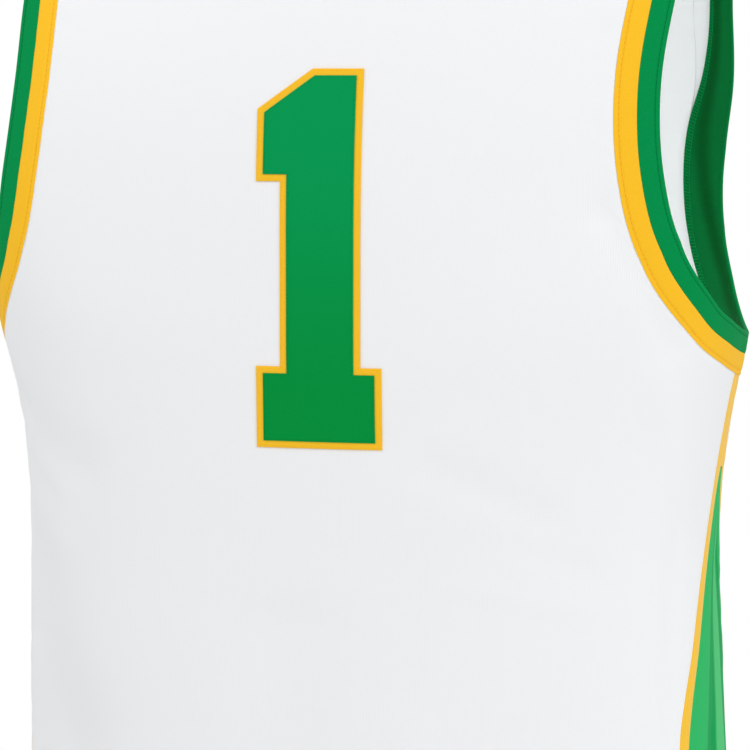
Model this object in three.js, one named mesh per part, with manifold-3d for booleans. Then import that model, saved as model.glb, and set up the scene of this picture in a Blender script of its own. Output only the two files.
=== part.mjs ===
// A sleeveless basketball jersey as it hangs on a wearer, with nobody inside it: a tube of knit cloth
// that is open at the hem, the neck and both armholes.
// Millimetres, +Z up, +Y the way the wearer faces, +X to the wearer's right. The origin lies on the
// top of the shoulders, midway between the two points where the shoulder seams meet the neck hole.
//
// Every piece lies on one surface, cloth(theta, rise). theta is the angle round the body in degrees,
// 0 at the centre of the back, +90 at the wearer's right side and 180 at the centre of the front.
// rise is 0 at the hem, 1 at the shoulder blades and 2 at the shoulder seam. A piece is an area of
// that surface between two depths, measured outwards from the outside face of the main cloth.
import * as THREE from 'three';
import { mergeVertices } from 'three/addons/utils/BufferGeometryUtils.js';
import Module from 'manifold-3d';

const wasm = await Module();
wasm.setup();

// driving sizes
const HEM_Z = -760;            // body length, from the neck end of the shoulder seam to the hem
const BLADE_Z = -250;          // height where the tube starts to close towards the shoulders
const CLOTH = 1.5;             // wall of the panels
const HEM_FOLD = 0.9;          // extra wall where the hem is turned up
const HEM_DEPTH = 20;
const GAP = 0.3;               // between neighbouring pieces
const TRIM = 12.5;             // width of each of the two strips of a trim
const FACING_BACK = -2.9;      // inner face of the strip that is folded to the inside
const TRIM_FACE = 0.3;         // trims stand this far out of the main cloth
const FOLD_ROUND = 0.8;        // corners of the trim's fold over the hole edge
const SIDE_THETA = 89.8;       // middle of the side panel
const SEAM_RISE = 0.001;       // half the gap at the shoulder seam
const NECK_HALF_WIDTH = 92;
const SHOULDER_SLOPE = 0.4;
const SHOULDER_ROUNDING = 70;

// shape of the body tube, by height
const SECTIONS = [
  { z: -760, half: 216, back: 122, front: 122, square: 0.16 },
  { z: -680, half: 211.5, back: 121, front: 121, square: 0.16 },
  { z: -600, half: 207, back: 119, front: 120, square: 0.17 },
  { z: -543, half: 205, back: 118, front: 119, square: 0.18 },
  { z: -490, half: 203.5, back: 117, front: 118, square: 0.19 },
  { z: -430, half: 202, back: 116, front: 118, square: 0.2 },
  { z: -385, half: 204, back: 117, front: 119, square: 0.2 },
  { z: -345, half: 210, back: 118, front: 120, square: 0.2 },
  { z: -310, half: 218, back: 119, front: 121, square: 0.2 },
  { z: -280, half: 223.5, back: 119, front: 122, square: 0.2 },
  { z: -250, half: 224, back: 119, front: 122, square: 0.2 },
];
const FLATNESS = { back: 0.41, front: 0.33, x: 232, from: -305, over: 95 };

// the garment hangs a little to one side
const SWAY = [
  { z: -760, x: 6.5 }, { z: -480, x: -1 }, { z: -330, x: -1 }, { z: -200, x: -5 }, { z: -60, x: 4.5 },
];

// hole edge of the armhole: half width of the back and of the front by height, then the low part
const ARM_SIDES = [
  { z: -115, back: 189.5, front: 198.5 },
  { z: -165, back: 187.5, front: 197.5 },
  { z: -215, back: 192, front: 193 },
  { z: -255, back: 200.5, front: 193.5 },
  { z: -285, back: 212, front: 201 },
];
const ARM_SHOULDER_X = 196.5;
const ARM_LOW = [
  { theta: 76, z: -296.5 }, { theta: 88.4, z: -305 }, { theta: 101, z: -307.5 }, { theta: 113, z: -303 },
];
const ARM_STATIONS = 48;

// hole edge of the neck, from the centre of the back to the centre of the front
const NECK_BACK = [{ x: 0, z: -45 }, { x: 36, z: -43 }, { x: 66, z: -34 }, { x: 85, z: -17 }];
const NECK_FRONT = [
  { x: 91, z: -34 }, { x: 81, z: -70 }, { x: 60, z: -99 }, { x: 31, z: -115 }, { x: 0, z: -120 },
];
const NECK_BACK_STATIONS = 7;  // from the centre of the back to a shoulder
const NECK_FRONT_STATIONS = 9; // from a shoulder to the centre of the front

// side strips: outer edge from the middle of the side, by height, and the strips' own width
const STRIP_EDGE = [
  { z: -760, out: 89.6 }, { z: -660, out: 76.6 }, { z: -580, out: 64.6 }, { z: -533, out: 58.2 },
  { z: -507, out: 51.5 }, { z: -480, out: 41.5 }, { z: -453, out: 32.2 }, { z: -426, out: 22.7 },
  { z: -399, out: 14 }, { z: -385, out: 10.8 }, { z: -372, out: 8.9 }, { z: -352, out: 7.8 },
  { z: -300, out: 7.8 },
];
const STRIP_WIDTH = 8.5;
const WEDGE_TIP_Z = -381;      // the green side panel starts here and widens downwards
const WEDGE_TIP_HALF = 1.2;
const SIDE_COLUMNS = 6;        // columns of the side panel's grid
const NEAR_SIDE_TOP_Z = -338;  // a first guess of where the side lines end

// folds: a soft ridge (+) or trough (-) along a line from one place to another
const FOLDS = [
  { theta: -76, z: -338, theta2: -62, z2: -352, width: 13, height: -2.2 },
  { theta: -62, z: -352, theta2: -40, z2: -381, width: 15, height: -2.2 },
  { theta: -76, z: -392, theta2: -48, z2: -424, width: 15, height: 2 },
  { theta: -57, z: -430, theta2: -46, z2: -535, width: 24, height: -3 },
  { theta: -46, z: -535, theta2: -42, z2: -790, width: 30, height: -4 },
  { theta: 38.5, z: -140, theta2: 40, z2: -235, width: 9, height: -1.1 },
  { theta: 40, z: -235, theta2: 55, z2: -308, width: 10, height: -1.6 },
  { theta: 56, z: -328, theta2: 68, z2: -395, width: 16, height: 2.2 },
  { theta: 66, z: -405, theta2: 62, z2: -520, width: 12, height: -1.8 },
  { theta: -4, z: -470, theta2: -9, z2: -790, width: 22, height: -2.4 },
  { theta: 19, z: -334, theta2: 9, z2: -362, width: 8, height: -0.8 },
  { theta: 15, z: -374, theta2: 33, z2: -402, width: 10, height: -1.1 },
  { theta: 138, z: -150, theta2: 128, z2: -205, width: 12, height: 1.4 },
  { theta: 108, z: -335, theta2: 140, z2: -392, width: 15, height: -2.4 },
  { theta: -110, z: -338, theta2: -138, z2: -385, width: 16, height: -2.2 },
  { theta: 132, z: -470, theta2: 140, z2: -790, width: 28, height: -3.6 },
  { theta: -150, z: -430, theta2: -141, z2: -790, width: 26, height: -3 },
  { theta: 171, z: -500, theta2: 166, z2: -790, width: 24, height: 2.4 },
];
const ARC_PER_DEGREE = 2.9;    // millimetres of cloth to a degree, near enough to place a fold
const ARC_PER_RISE = 400;
const CELL_SCALE = [ARC_PER_DEGREE, ARC_PER_RISE];
const FLUTES = [
  { waves: 3, shift: 2, part: 0.3 },
  { waves: 5, shift: 0.6, part: 0.5 },
  { waves: 8, shift: -1.1, part: 0.3 },
];
const FLUTE_DEPTH = 5;
const FLUTES_START_Z = -430;

// block numeral on the back, in x and z
const NUMERAL = {
  baseLeft: -34.3, baseRight: 37.3, stemLeft: -20.3, stemRight: 25.5,
  bottom: -364.6, baseTop: -319.6, flagBottom: -218, flagTop: -178.5, top: -156.5, flagPeak: -3.2,
};
const NUMERAL_BORDER = 3.8;
const TWILL = 1;               // each of the numeral's two layers
const NUMERAL_MARGIN = 25;     // the wall that the numeral is cut from reaches this far past it
const NUMERAL_REACH = 60;      // and this far to each side of the middle
const CUTTER_DEPTH = 200;

const COLORS = { white: 0xeeeff1, yellow: 0xfdc125, green: 0x03924b, sideGreen: 0x31bb6a };
const KNIT_ROUGHNESS = 0.9;
const TWILL_ROUGHNESS = 0.8;

const RAD = Math.PI / 180;
const HALVINGS = 40;           // when a place is searched for
const FINE_STEPS = 40;         // of a curve between two stations

// smooth curve through the rows of a table
function along(table, from, to, at) {
  const last = table.length - 1;
  const slope = (i) => {
    const a = table[Math.max(i - 1, 0)];
    const b = table[Math.min(i + 1, last)];
    return (b[to] - a[to]) / (b[from] - a[from]);
  };
  let i = 0;
  while (i < last - 1 && at > table[i + 1][from]) i += 1;
  const span = table[i + 1][from] - table[i][from];
  const t = THREE.MathUtils.clamp((at - table[i][from]) / span, 0, 1);
  const a = table[i][to];
  const b = table[i + 1][to];
  const easeOut = (2 * t ** 3 - 3 * t ** 2 + 1) * a + (t ** 3 - 2 * t ** 2 + t) * span * slope(i);
  const easeIn = (-2 * t ** 3 + 3 * t ** 2) * b + (t ** 3 - t ** 2) * span * slope(i + 1);
  return easeOut + easeIn;
}

const ease = (t) => THREE.MathUtils.smoothstep(t, 0, 1);
const heightOf = (rise) => HEM_Z + (BLADE_Z - HEM_Z) * Math.min(rise, 1);
const shoulderHeight = (x) => SHOULDER_SLOPE
  * (Math.hypot(NECK_HALF_WIDTH, SHOULDER_ROUNDING) - Math.hypot(x, SHOULDER_ROUNDING));

// the smooth surface that all pieces share, before folds
function cloth(theta, rise) {
  const sin = Math.sin(theta * RAD);
  const cos = Math.cos(theta * RAD);
  const low = heightOf(rise);
  const half = along(SECTIONS, 'z', 'half', low);
  const back = along(SECTIONS, 'z', 'back', low);
  const front = along(SECTIONS, 'z', 'front', low);
  const square = along(SECTIONS, 'z', 'square', low);
  const x = half * sin * (1 + square * cos * cos);
  const arch = THREE.MathUtils.clamp(rise - 1, 0, 1) * Math.PI / 2;
  const z = rise <= 1 ? low : BLADE_Z + (shoulderHeight(x) - BLADE_Z) * Math.sin(arch);
  const ring = -cos * (1 + square * sin * sin) * ((back + front) / 2 + (back - front) / 2 * cos);
  const fall = (x / FLATNESS.x) ** 2;
  const flat = cos > 0 ? -back * (1 - FLATNESS.back * fall) : front * (1 - FLATNESS.front * fall);
  const mix = ease((z - FLATNESS.from) / FLATNESS.over);
  return new THREE.Vector3(x, (ring * (1 - mix) + flat * mix) * Math.cos(arch), z);
}

// how the surface runs with theta and with rise, and its outward normal
function frameAt(theta, rise) {
  const turn = 0.05;
  const lift = 1e-3;
  const below = rise > 2 - lift ? rise - lift : rise - lift / 2;
  const above = rise > 2 - lift ? rise : rise + lift / 2;
  const around = cloth(theta + turn, rise).sub(cloth(theta - turn, rise)).divideScalar(2 * turn);
  const up = cloth(theta, above).sub(cloth(theta, below)).divideScalar(above - below);
  const normal = new THREE.Vector3().crossVectors(around, up).normalize();
  return { around, up, normal };
}

// distance from a point to a fold's line, all in millimetres of cloth
function offLine(fold, theta, z) {
  const turn = theta - fold.theta;
  const u = (turn - 360 * Math.round(turn / 360)) * ARC_PER_DEGREE;
  const v = z - fold.z;
  const du = (fold.theta2 - fold.theta) * ARC_PER_DEGREE;
  const dv = fold.z2 - fold.z;
  const t = THREE.MathUtils.clamp((u * du + v * dv) / (du * du + dv * dv), 0, 1);
  return Math.hypot(u - t * du, v - t * dv);
}

// how far the folds move the cloth out
function foldDepth(theta, z) {
  let depth = 0;
  for (const fold of FOLDS) {
    depth += fold.height * Math.exp(-((offLine(fold, theta, z) / fold.width) ** 2));
  }
  const swing = FLUTE_DEPTH * ease((FLUTES_START_Z - z) / (FLUTES_START_Z - HEM_Z));
  for (const flute of FLUTES) {
    depth += swing * flute.part * Math.cos(flute.waves * theta * RAD + flute.shift);
  }
  return depth;
}

// point of a piece: a place on the cloth, moved out by depth
function put([theta, rise], depth = 0) {
  const point = cloth(theta, rise);
  const { normal } = frameAt(theta, rise);
  point.addScaledVector(normal, foldDepth(theta, point.z) + depth);
  point.x += along(SWAY, 'z', 'x', point.z);
  return point;
}

// angle whose place at the shoulder blades is x from the middle
function thetaAt(x) {
  let low = 0;
  let high = 90;
  for (let i = 0; i < HALVINGS; i += 1) {
    const middle = (low + high) / 2;
    if (cloth(middle, 1).x < x) low = middle;
    else high = middle;
  }
  return (low + high) / 2;
}

function riseAt(z, x) {
  if (z <= BLADE_Z) return (z - HEM_Z) / (BLADE_Z - HEM_Z);
  return 1 + Math.asin((z - BLADE_Z) / (shoulderHeight(x) - BLADE_Z)) / (Math.PI / 2);
}

const backPlace = ({ x, z }) => [thetaAt(x), riseAt(z, x)];
const frontPlace = ({ x, z }) => [180 - thetaAt(x), riseAt(z, x)];

// near enough the distance between two places
const apart = ([theta, rise], [theta2, rise2]) => (
  Math.hypot((theta2 - theta) * CELL_SCALE[0], (rise2 - rise) * CELL_SCALE[1]));

// the place that continues a curve past its end, mirrored in the shoulder seam or in a centre line
function beyond([theta, rise], [nextTheta, nextRise]) {
  return rise === 2 ? [nextTheta, 4 - nextRise] : [2 * theta - nextTheta, nextRise];
}

// evenly spaced places on a smooth curve through the given places
function spread(places, count) {
  const all = [beyond(places[0], places[1]), ...places, beyond(places.at(-1), places.at(-2))];
  const table = [];
  let far = 0;
  all.forEach(([theta, rise], i) => {
    if (i > 0) far += apart(all[i - 1], [theta, rise]);
    table.push({ far, theta, rise });
  });
  const start = table[1].far;
  const end = table.at(-2).far;
  const fine = FINE_STEPS * count;
  const line = [];
  let length = 0;
  for (let i = 0; i <= fine; i += 1) {
    const at = start + (end - start) * i / fine;
    const place = [along(table, 'far', 'theta', at), Math.min(along(table, 'far', 'rise', at), 2)];
    const point = cloth(...place);
    if (i > 0) length += point.distanceTo(line[i - 1].point);
    line.push({ length, point, theta: place[0], rise: place[1] });
  }
  const result = [];
  for (let i = 0; i <= count; i += 1) {
    const want = length * i / count;
    let k = 1;
    while (k < fine && line[k].length < want) k += 1;
    const t = (want - line[k - 1].length) / (line[k].length - line[k - 1].length);
    result.push([
      THREE.MathUtils.lerp(line[k - 1].theta, line[k].theta, t),
      THREE.MathUtils.lerp(line[k - 1].rise, line[k].rise, t),
    ]);
  }
  return result;
}

// the same closed loop, moved away from its hole along the cloth
function moved(loop, distance) {
  const steps = 10;
  const points = loop.map((place) => cloth(...place));
  return loop.map((place, i) => {
    const ahead = points[(i + 1) % loop.length];
    const behind = points[(i + loop.length - 1) % loop.length];
    const tangent = ahead.clone().sub(behind);
    let away = tangent.cross(frameAt(...place).normal).normalize();
    let [theta, rise] = place;
    for (let k = 0; k < steps; k += 1) {
      const { around, up, normal } = frameAt(theta, rise);
      away = away.clone().addScaledVector(normal, -away.dot(normal)).normalize();
      const aa = around.dot(around);
      const au = around.dot(up);
      const uu = up.dot(up);
      const a = around.dot(away);
      const u = up.dot(away);
      const scale = distance / steps / (aa * uu - au * au);
      theta += (a * uu - u * au) * scale;
      rise = Math.min(rise + (u * aa - a * au) * scale, 2);
    }
    return [theta, place[1] === 2 ? 2 : rise];
  });
}

const mirrored = (places) => places.map(([theta, rise]) => [-theta, rise]);

// closed loop of the right armhole's edge, from the shoulder down the back and up the front
function armholeLoop() {
  const shoulder = thetaAt(ARM_SHOULDER_X);
  const back = ARM_SIDES.map((row) => backPlace({ x: row.back, z: row.z }));
  const low = ARM_LOW.map(({ theta, z }) => [theta, riseAt(z, 0)]);
  const front = ARM_SIDES.map((row) => frontPlace({ x: row.front, z: row.z })).reverse();
  const places = [[shoulder, 2], ...back, ...low, ...front, [180 - shoulder, 2]];
  return spread(places, ARM_STATIONS).slice(0, -1);
}

// closed loop of the neck hole's edge, from the centre of the back to the right
function neckLoop() {
  const shoulder = thetaAt(NECK_HALF_WIDTH);
  const back = spread([...NECK_BACK.map(backPlace), [shoulder, 2]], NECK_BACK_STATIONS);
  const front = spread([[180 - shoulder, 2], ...NECK_FRONT.map(frontPlace)], NECK_FRONT_STATIONS);
  const right = [...back, ...front.slice(1)];
  return [...right, ...mirrored(right.slice(1, -1)).reverse()];
}

// closed solid from rows of outer and inner points; tilted tells which way each cell's diagonal runs
function shell(outer, inner, tilted) {
  const rows = outer.length;
  const columns = outer[0].length;
  const positions = [];
  const faces = [];
  for (const layer of [outer, inner]) {
    for (const row of layer) {
      for (const point of row) positions.push(point.x, point.y, point.z);
    }
  }
  const out = (r, c) => r * columns + c;
  const into = (r, c) => rows * columns + r * columns + c;
  const addCell = (at, r, c, outward) => {
    const [a, b, d, e] = [at(r, c), at(r, c + 1), at(r + 1, c + 1), at(r + 1, c)];
    const halves = tilted(r, c) ? [[a, b, e], [b, d, e]] : [[a, b, d], [a, d, e]];
    for (const half of halves) faces.push(...(outward ? half : half.reverse()));
  };
  for (let r = 0; r < rows - 1; r += 1) {
    for (let c = 0; c < columns - 1; c += 1) {
      addCell(out, r, c, true);
      addCell(into, r, c, false);
    }
  }
  const rim = [];
  for (let c = 0; c < columns - 1; c += 1) rim.push([0, c]);
  for (let r = 0; r < rows - 1; r += 1) rim.push([r, columns - 1]);
  for (let c = columns - 1; c > 0; c -= 1) rim.push([rows - 1, c]);
  for (let r = rows - 1; r > 0; r -= 1) rim.push([r, 0]);
  rim.forEach(([r, c], i) => {
    const [r2, c2] = rim[(i + 1) % rim.length];
    faces.push(out(r, c), into(r, c), into(r2, c2));
    faces.push(out(r, c), into(r2, c2), out(r2, c2));
  });
  return solidGeometry(positions, faces);
}

// closed ring from a closed section at every station
function ring(sections, flip) {
  const size = sections[0].length;
  const positions = [];
  const faces = [];
  for (const section of sections) {
    for (const point of section) positions.push(point.x, point.y, point.z);
  }
  sections.forEach((section, i) => {
    const next = (i + 1) % sections.length;
    for (let k = 0; k < size; k += 1) {
      const k2 = (k + 1) % size;
      const a = i * size + k;
      const b = i * size + k2;
      const c = next * size + k2;
      const d = next * size + k;
      if (flip) faces.push(a, b, c, a, c, d);
      else faces.push(a, c, b, a, d, c);
    }
  });
  return solidGeometry(positions, faces);
}

function solidGeometry(positions, faces) {
  const geometry = new THREE.BufferGeometry();
  geometry.setAttribute('position', new THREE.Float32BufferAttribute(positions, 3));
  geometry.setIndex(faces);
  geometry.computeVertexNormals();
  return geometry;
}

const jersey = new THREE.Group();

function addPiece(name, geometry, color, roughness = KNIT_ROUGHNESS) {
  const material = new THREE.MeshStandardMaterial({ color, roughness, metalness: 0 });
  const mesh = new THREE.Mesh(geometry, material);
  mesh.name = name;
  jersey.add(mesh);
}

// places at a distance round the body from the middle of the side, towards the front when positive
function besideSeam(rise, distance) {
  const steps = 12;
  let theta = SIDE_THETA;
  for (let k = 0; k < steps; k += 1) {
    theta += distance / steps / frameAt(theta, rise).around.length();
  }
  return [theta, rise];
}

const armhole = armholeLoop();
const neck = neckLoop();
const armEdge = moved(armhole, 2 * TRIM + GAP);
const neckEdge = moved(neck, 2 * TRIM + GAP);

// the armhole's panel edge near its lowest part, as a height for each angle
function underArm(theta) {
  for (let i = 0; i < armEdge.length - 1; i += 1) {
    const [a, low] = armEdge[i];
    const [b, high] = armEdge[i + 1];
    if (a <= theta && theta <= b) {
      return THREE.MathUtils.lerp(low, high, (theta - a) / (b - a));
    }
  }
  throw new Error(`no armhole edge at ${theta}`);
}

// a side line's top end, where it meets the armhole trim
function topOfSide(distance) {
  const rounds = 4;
  let place = besideSeam(riseAt(NEAR_SIDE_TOP_Z, 0), distance);
  for (let i = 0; i < rounds; i += 1) place = besideSeam(underArm(place[0]), distance);
  return [place[0], underArm(place[0])];
}

const HEM_ROWS = [HEM_Z, HEM_Z + HEM_DEPTH - 1, HEM_Z + HEM_DEPTH + 1];
const SIDE_ROWS = [
  -714, -687, -660, -633, -606, -580, -556, -533, -507, -480, -453, -426, -410, -399, -390,
];
const TOP_ROWS = [-366, -352];
const stripEdge = (z) => along(STRIP_EDGE, 'z', 'out', z);

function stripInner(z) {
  if (z > WEDGE_TIP_Z) return GAP / 2;
  return Math.max(stripEdge(z) - STRIP_WIDTH, WEDGE_TIP_HALF + GAP);
}

// side edge of a panel or a strip, from the hem to the armhole trim; way is -1 for the back and
// 1 for the front
function sideEdge(way, distanceAt) {
  const rows = [...HEM_ROWS, ...SIDE_ROWS, WEDGE_TIP_Z, ...TOP_ROWS];
  const places = rows.map((z) => besideSeam(riseAt(z, 0), way * distanceAt(z)));
  return [...places, topOfSide(way * distanceAt(TOP_ROWS.at(-1)))];
}

// right-hand edge of a panel: up the side, then round the armhole to the shoulder
function panelEdge(way) {
  const side = sideEdge(way, (z) => stripEdge(z) + GAP);
  const [corner] = side.at(-1);
  const clear = 1;
  const stations = armEdge.slice(1).filter(([theta]) => way * (theta - corner) > clear);
  if (way < 0) stations.reverse();
  const [theta] = armEdge[0];
  const shoulder = [way < 0 ? theta : 180 - theta, 2 - SEAM_RISE];
  return { side, arm: [...stations, shoulder] };
}

const SHOULDER_COLUMNS = 5;
const TOP_BLEND = 1.3;         // how late the rows take the shape of the neck and shoulders

// evens out the cells above a row, with the places at the rim held, so that no cell folds over:
// each place moves to the average of its neighbours, weighted by how the grid runs there
function relax(grid, firstRow) {
  const rounds = 150;
  for (let round = 0; round < rounds; round += 1) {
    for (let r = firstRow + 1; r < grid.length - 1; r += 1) {
      for (let c = 1; c < grid[r].length - 1; c += 1) {
        const [under, here, over] = [grid[r - 1], grid[r], grid[r + 1]];
        const across = [0, 1].map((k) => (here[c + 1][k] - here[c - 1][k]) / 2 * CELL_SCALE[k]);
        const upward = [0, 1].map((k) => (over[c][k] - under[c][k]) / 2 * CELL_SCALE[k]);
        const tall = upward[0] ** 2 + upward[1] ** 2;
        const skew = across[0] * upward[0] + across[1] * upward[1];
        const wide = across[0] ** 2 + across[1] ** 2;
        here[c] = [0, 1].map((k) => {
          const sides = tall * (here[c + 1][k] + here[c - 1][k]) + wide * (over[c][k] + under[c][k]);
          const twist = over[c + 1][k] - over[c - 1][k] - under[c + 1][k] + under[c - 1][k];
          return (sides - skew / 2 * twist) / (2 * (tall + wide));
        });
      }
    }
  }
  return grid;
}

// grid of places of the back (way -1) or the front (way 1), rows from the hem to the shoulders
function panelGrid(way) {
  const centre = way < 0 ? 0 : 180;
  const { side, arm } = panelEdge(way);
  const edge = [...side, ...arm].map(([theta, rise]) => [Math.abs(theta - centre), rise]);
  const armRows = arm.length;
  const first = way < 0 ? 0 : NECK_BACK_STATIONS;
  const last = way < 0 ? NECK_BACK_STATIONS : NECK_BACK_STATIONS + NECK_FRONT_STATIONS;
  const neckHalf = neckEdge.slice(first, last + 1)
    .map(([theta, rise]) => [Math.abs(theta - centre), Math.min(rise, 2 - SEAM_RISE)]);
  if (way > 0) {
    // the shoulder station is stored as a place of the back
    neckHalf[0][0] = neckEdge[first][0];
    neckHalf.reverse();
  }
  const [full] = edge.at(-1);
  const [neckTheta] = neckHalf.at(-1);
  const top = [...neckHalf];
  for (let i = 1; i <= SHOULDER_COLUMNS; i += 1) {
    top.push([THREE.MathUtils.lerp(neckTheta, full, i / SHOULDER_COLUMNS), 2 - SEAM_RISE]);
  }
  const share = top.map((place, i) => {
    if (i >= neckHalf.length - 1) return place[0] / full;
    return neckTheta / full * Math.sin(i / (neckHalf.length - 1) * Math.PI / 2);
  });
  const corner = edge.length - 1 - armRows;
  const lengths = [0];
  for (let r = corner + 1; r < edge.length; r += 1) {
    const step = cloth(...edge[r]).distanceTo(cloth(...edge[r - 1]));
    lengths.push(lengths.at(-1) + step);
  }
  const half = edge.map(([theta, rise], r) => {
    const climb = r <= corner ? 0 : lengths[r - corner] / lengths.at(-1);
    const inside = THREE.MathUtils.lerp(edge[corner][1], 2 - SEAM_RISE, climb);
    const blend = climb ** TOP_BLEND;
    return top.map(([topTheta, topRise], c) => {
      const inner = (1 - share[c] ** 2) ** 2;
      const straight = r <= corner ? rise : THREE.MathUtils.lerp(rise, inside, inner);
      return [
        share[c] * theta + blend * (topTheta - share[c] * full),
        straight + blend * (topRise - (2 - SEAM_RISE)),
      ];
    });
  });
  return relax(half.map((row) => {
    const right = row.map(([theta, rise]) => [centre + theta, rise]);
    const left = row.map(([theta, rise]) => [centre - theta, rise]);
    return [...left.slice(1).reverse(), ...right];
  }), HEM_ROWS.length);
}

// wall of a grid of places between two depths, thicker where the hem is turned up
function wall(grid, outerDepth, innerDepth) {
  const outer = grid.map((row) => row.map((place) => put(place, outerDepth)));
  const inner = grid.map((row) => row.map((place) => {
    const hem = heightOf(place[1]) < HEM_Z + HEM_DEPTH ? HEM_FOLD : 0;
    return put(place, innerDepth - hem);
  }));
  const clearly = 1;
  const tilted = (r, c) => (
    apart(grid[r][c + 1], grid[r + 1][c]) < apart(grid[r][c], grid[r + 1][c + 1]) - clearly);
  return shell(outer, inner, tilted);
}

const backGrid = panelGrid(-1);
addPiece('back_panel', wall(backGrid, 0, -CLOTH), COLORS.white);
addPiece('front_panel', wall(panelGrid(1), 0, -CLOTH), COLORS.white);

// grid between two side edges, run from the lower to the higher angle
function between(left, right, columns) {
  return left.map((place, r) => {
    const row = [];
    for (let c = 0; c <= columns; c += 1) {
      const theta = THREE.MathUtils.lerp(place[0], right[r][0], c / columns);
      row.push([theta, THREE.MathUtils.lerp(place[1], right[r][1], c / columns)]);
    }
    return row;
  });
}

const mirroredGrid = (grid) => grid.map((row) => mirrored(row).reverse());

// yellow strips beside the side panel, and the green side panel between them
function addSide() {
  const stripGrid = (way) => {
    const outer = sideEdge(way, stripEdge);
    const inner = sideEdge(way, stripInner);
    return way < 0 ? between(outer, inner, 1) : between(inner, outer, 1);
  };
  const insert = (way) => {
    const rows = [...HEM_ROWS, ...SIDE_ROWS, WEDGE_TIP_Z];
    return rows.map((z) => besideSeam(riseAt(z, 0), way * (stripInner(z) - GAP)));
  };
  const pieces = [
    ['strip_back', stripGrid(-1), COLORS.yellow],
    ['strip_front', stripGrid(1), COLORS.yellow],
    ['side_panel', between(insert(-1), insert(1), SIDE_COLUMNS), COLORS.sideGreen],
  ];
  for (const [name, grid, color] of pieces) {
    addPiece(`${name}_right`, wall(grid, 0, -CLOTH), color);
    addPiece(`${name}_left`, wall(mirroredGrid(grid), 0, -CLOTH), color);
  }
}
addSide();

// trim: a green band folded over the hole edge, and a yellow strip beside it on the outside
function addTrim(name, loop, isLeft) {
  const lines = new Map([0, FOLD_ROUND, TRIM, TRIM + GAP, 2 * TRIM].map((far) => {
    const line = moved(loop, far);
    return [far, isLeft ? mirrored(line) : line];
  }));
  const sectionAt = (section, i) => section.map(([far, depth]) => put(lines.get(far)[i], depth));
  const sweep = (section) => loop.map((_, i) => sectionAt(section, i));
  const band = [
    [TRIM, TRIM_FACE], [FOLD_ROUND, TRIM_FACE],
    [0, TRIM_FACE - FOLD_ROUND], [0, FACING_BACK + FOLD_ROUND],
    [FOLD_ROUND, FACING_BACK], [2 * TRIM, FACING_BACK], [2 * TRIM, -CLOTH], [TRIM, -CLOTH],
  ];
  const stripe = [
    [2 * TRIM, GAP - CLOTH], [TRIM + GAP, GAP - CLOTH], [TRIM + GAP, TRIM_FACE], [2 * TRIM, TRIM_FACE],
  ];
  addPiece(`${name[0]}_band${name[1]}`, ring(sweep(band), isLeft), COLORS.green);
  addPiece(`${name[0]}_stripe${name[1]}`, ring(sweep(stripe), !isLeft), COLORS.yellow);
}
addTrim(['armhole', '_right'], armhole, false);
addTrim(['armhole', '_left'], armhole, true);
addTrim(['neck', ''], neck, false);

// outline of the numeral, drawn in by a border all round
function numeralShape(border) {
  const n = NUMERAL;
  const rise = n.top - n.flagTop;
  const run = n.flagPeak - n.baseLeft;
  const slant = Math.hypot(rise, run);
  // where the inset slope meets the inset left edge and the inset top
  const drop = border * (slant - rise) / run;
  const shift = border * (slant - run) / rise;
  return new THREE.Shape([
    [n.baseLeft + border, n.bottom + border],
    [n.baseRight - border, n.bottom + border],
    [n.baseRight - border, n.baseTop - border],
    [n.stemRight - border, n.baseTop - border],
    [n.stemRight - border, n.top - border],
    [n.flagPeak + shift, n.top - border],
    [n.baseLeft + border, n.flagTop - drop],
    [n.baseLeft + border, n.flagBottom + border],
    [n.stemLeft + border, n.flagBottom + border],
    [n.stemLeft + border, n.baseTop - border],
    [n.baseLeft + border, n.baseTop - border],
  ].map(([x, z]) => new THREE.Vector2(x, z)));
}

function toSolid(geometry) {
  const bare = geometry.clone();
  bare.deleteAttribute('normal');
  bare.deleteAttribute('uv');
  const merged = mergeVertices(bare, 1e-4);
  const vertProperties = new Float32Array(merged.attributes.position.array);
  const triVerts = new Uint32Array(merged.index.array);
  return new wasm.Manifold(new wasm.Mesh({ numProp: 3, vertProperties, triVerts }));
}

// one layer of the numeral: the block shape cut out of a wall that follows the back panel
function numeralLayer(border, depth) {
  const inRows = backGrid.filter((row) => {
    const z = put(row[Math.floor(row.length / 2)]).z;
    return z > NUMERAL.bottom - NUMERAL_MARGIN && z < NUMERAL.top + NUMERAL_MARGIN;
  });
  const reaches = (c) => inRows.some((row) => Math.abs(put(row[c]).x) < NUMERAL_REACH);
  const near = inRows[0].map((_, c) => c).filter(reaches);
  const patch = inRows.map((row) => row.slice(near[0], near.at(-1) + 1));
  const options = { depth: CUTTER_DEPTH, bevelEnabled: false };
  const block = new THREE.ExtrudeGeometry(numeralShape(border), options);
  block.rotateX(Math.PI / 2);
  const cut = toSolid(wall(patch, depth + TWILL, depth)).intersect(toSolid(block)).getMesh();
  return solidGeometry(Array.from(cut.vertProperties), Array.from(cut.triVerts));
}
addPiece('number_outline', numeralLayer(0, GAP), COLORS.yellow, TWILL_ROUGHNESS);
const FACE_DEPTH = 2 * GAP + TWILL;
addPiece('number_face', numeralLayer(NUMERAL_BORDER, FACE_DEPTH), COLORS.green, TWILL_ROUGHNESS);

export default jersey;
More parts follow.
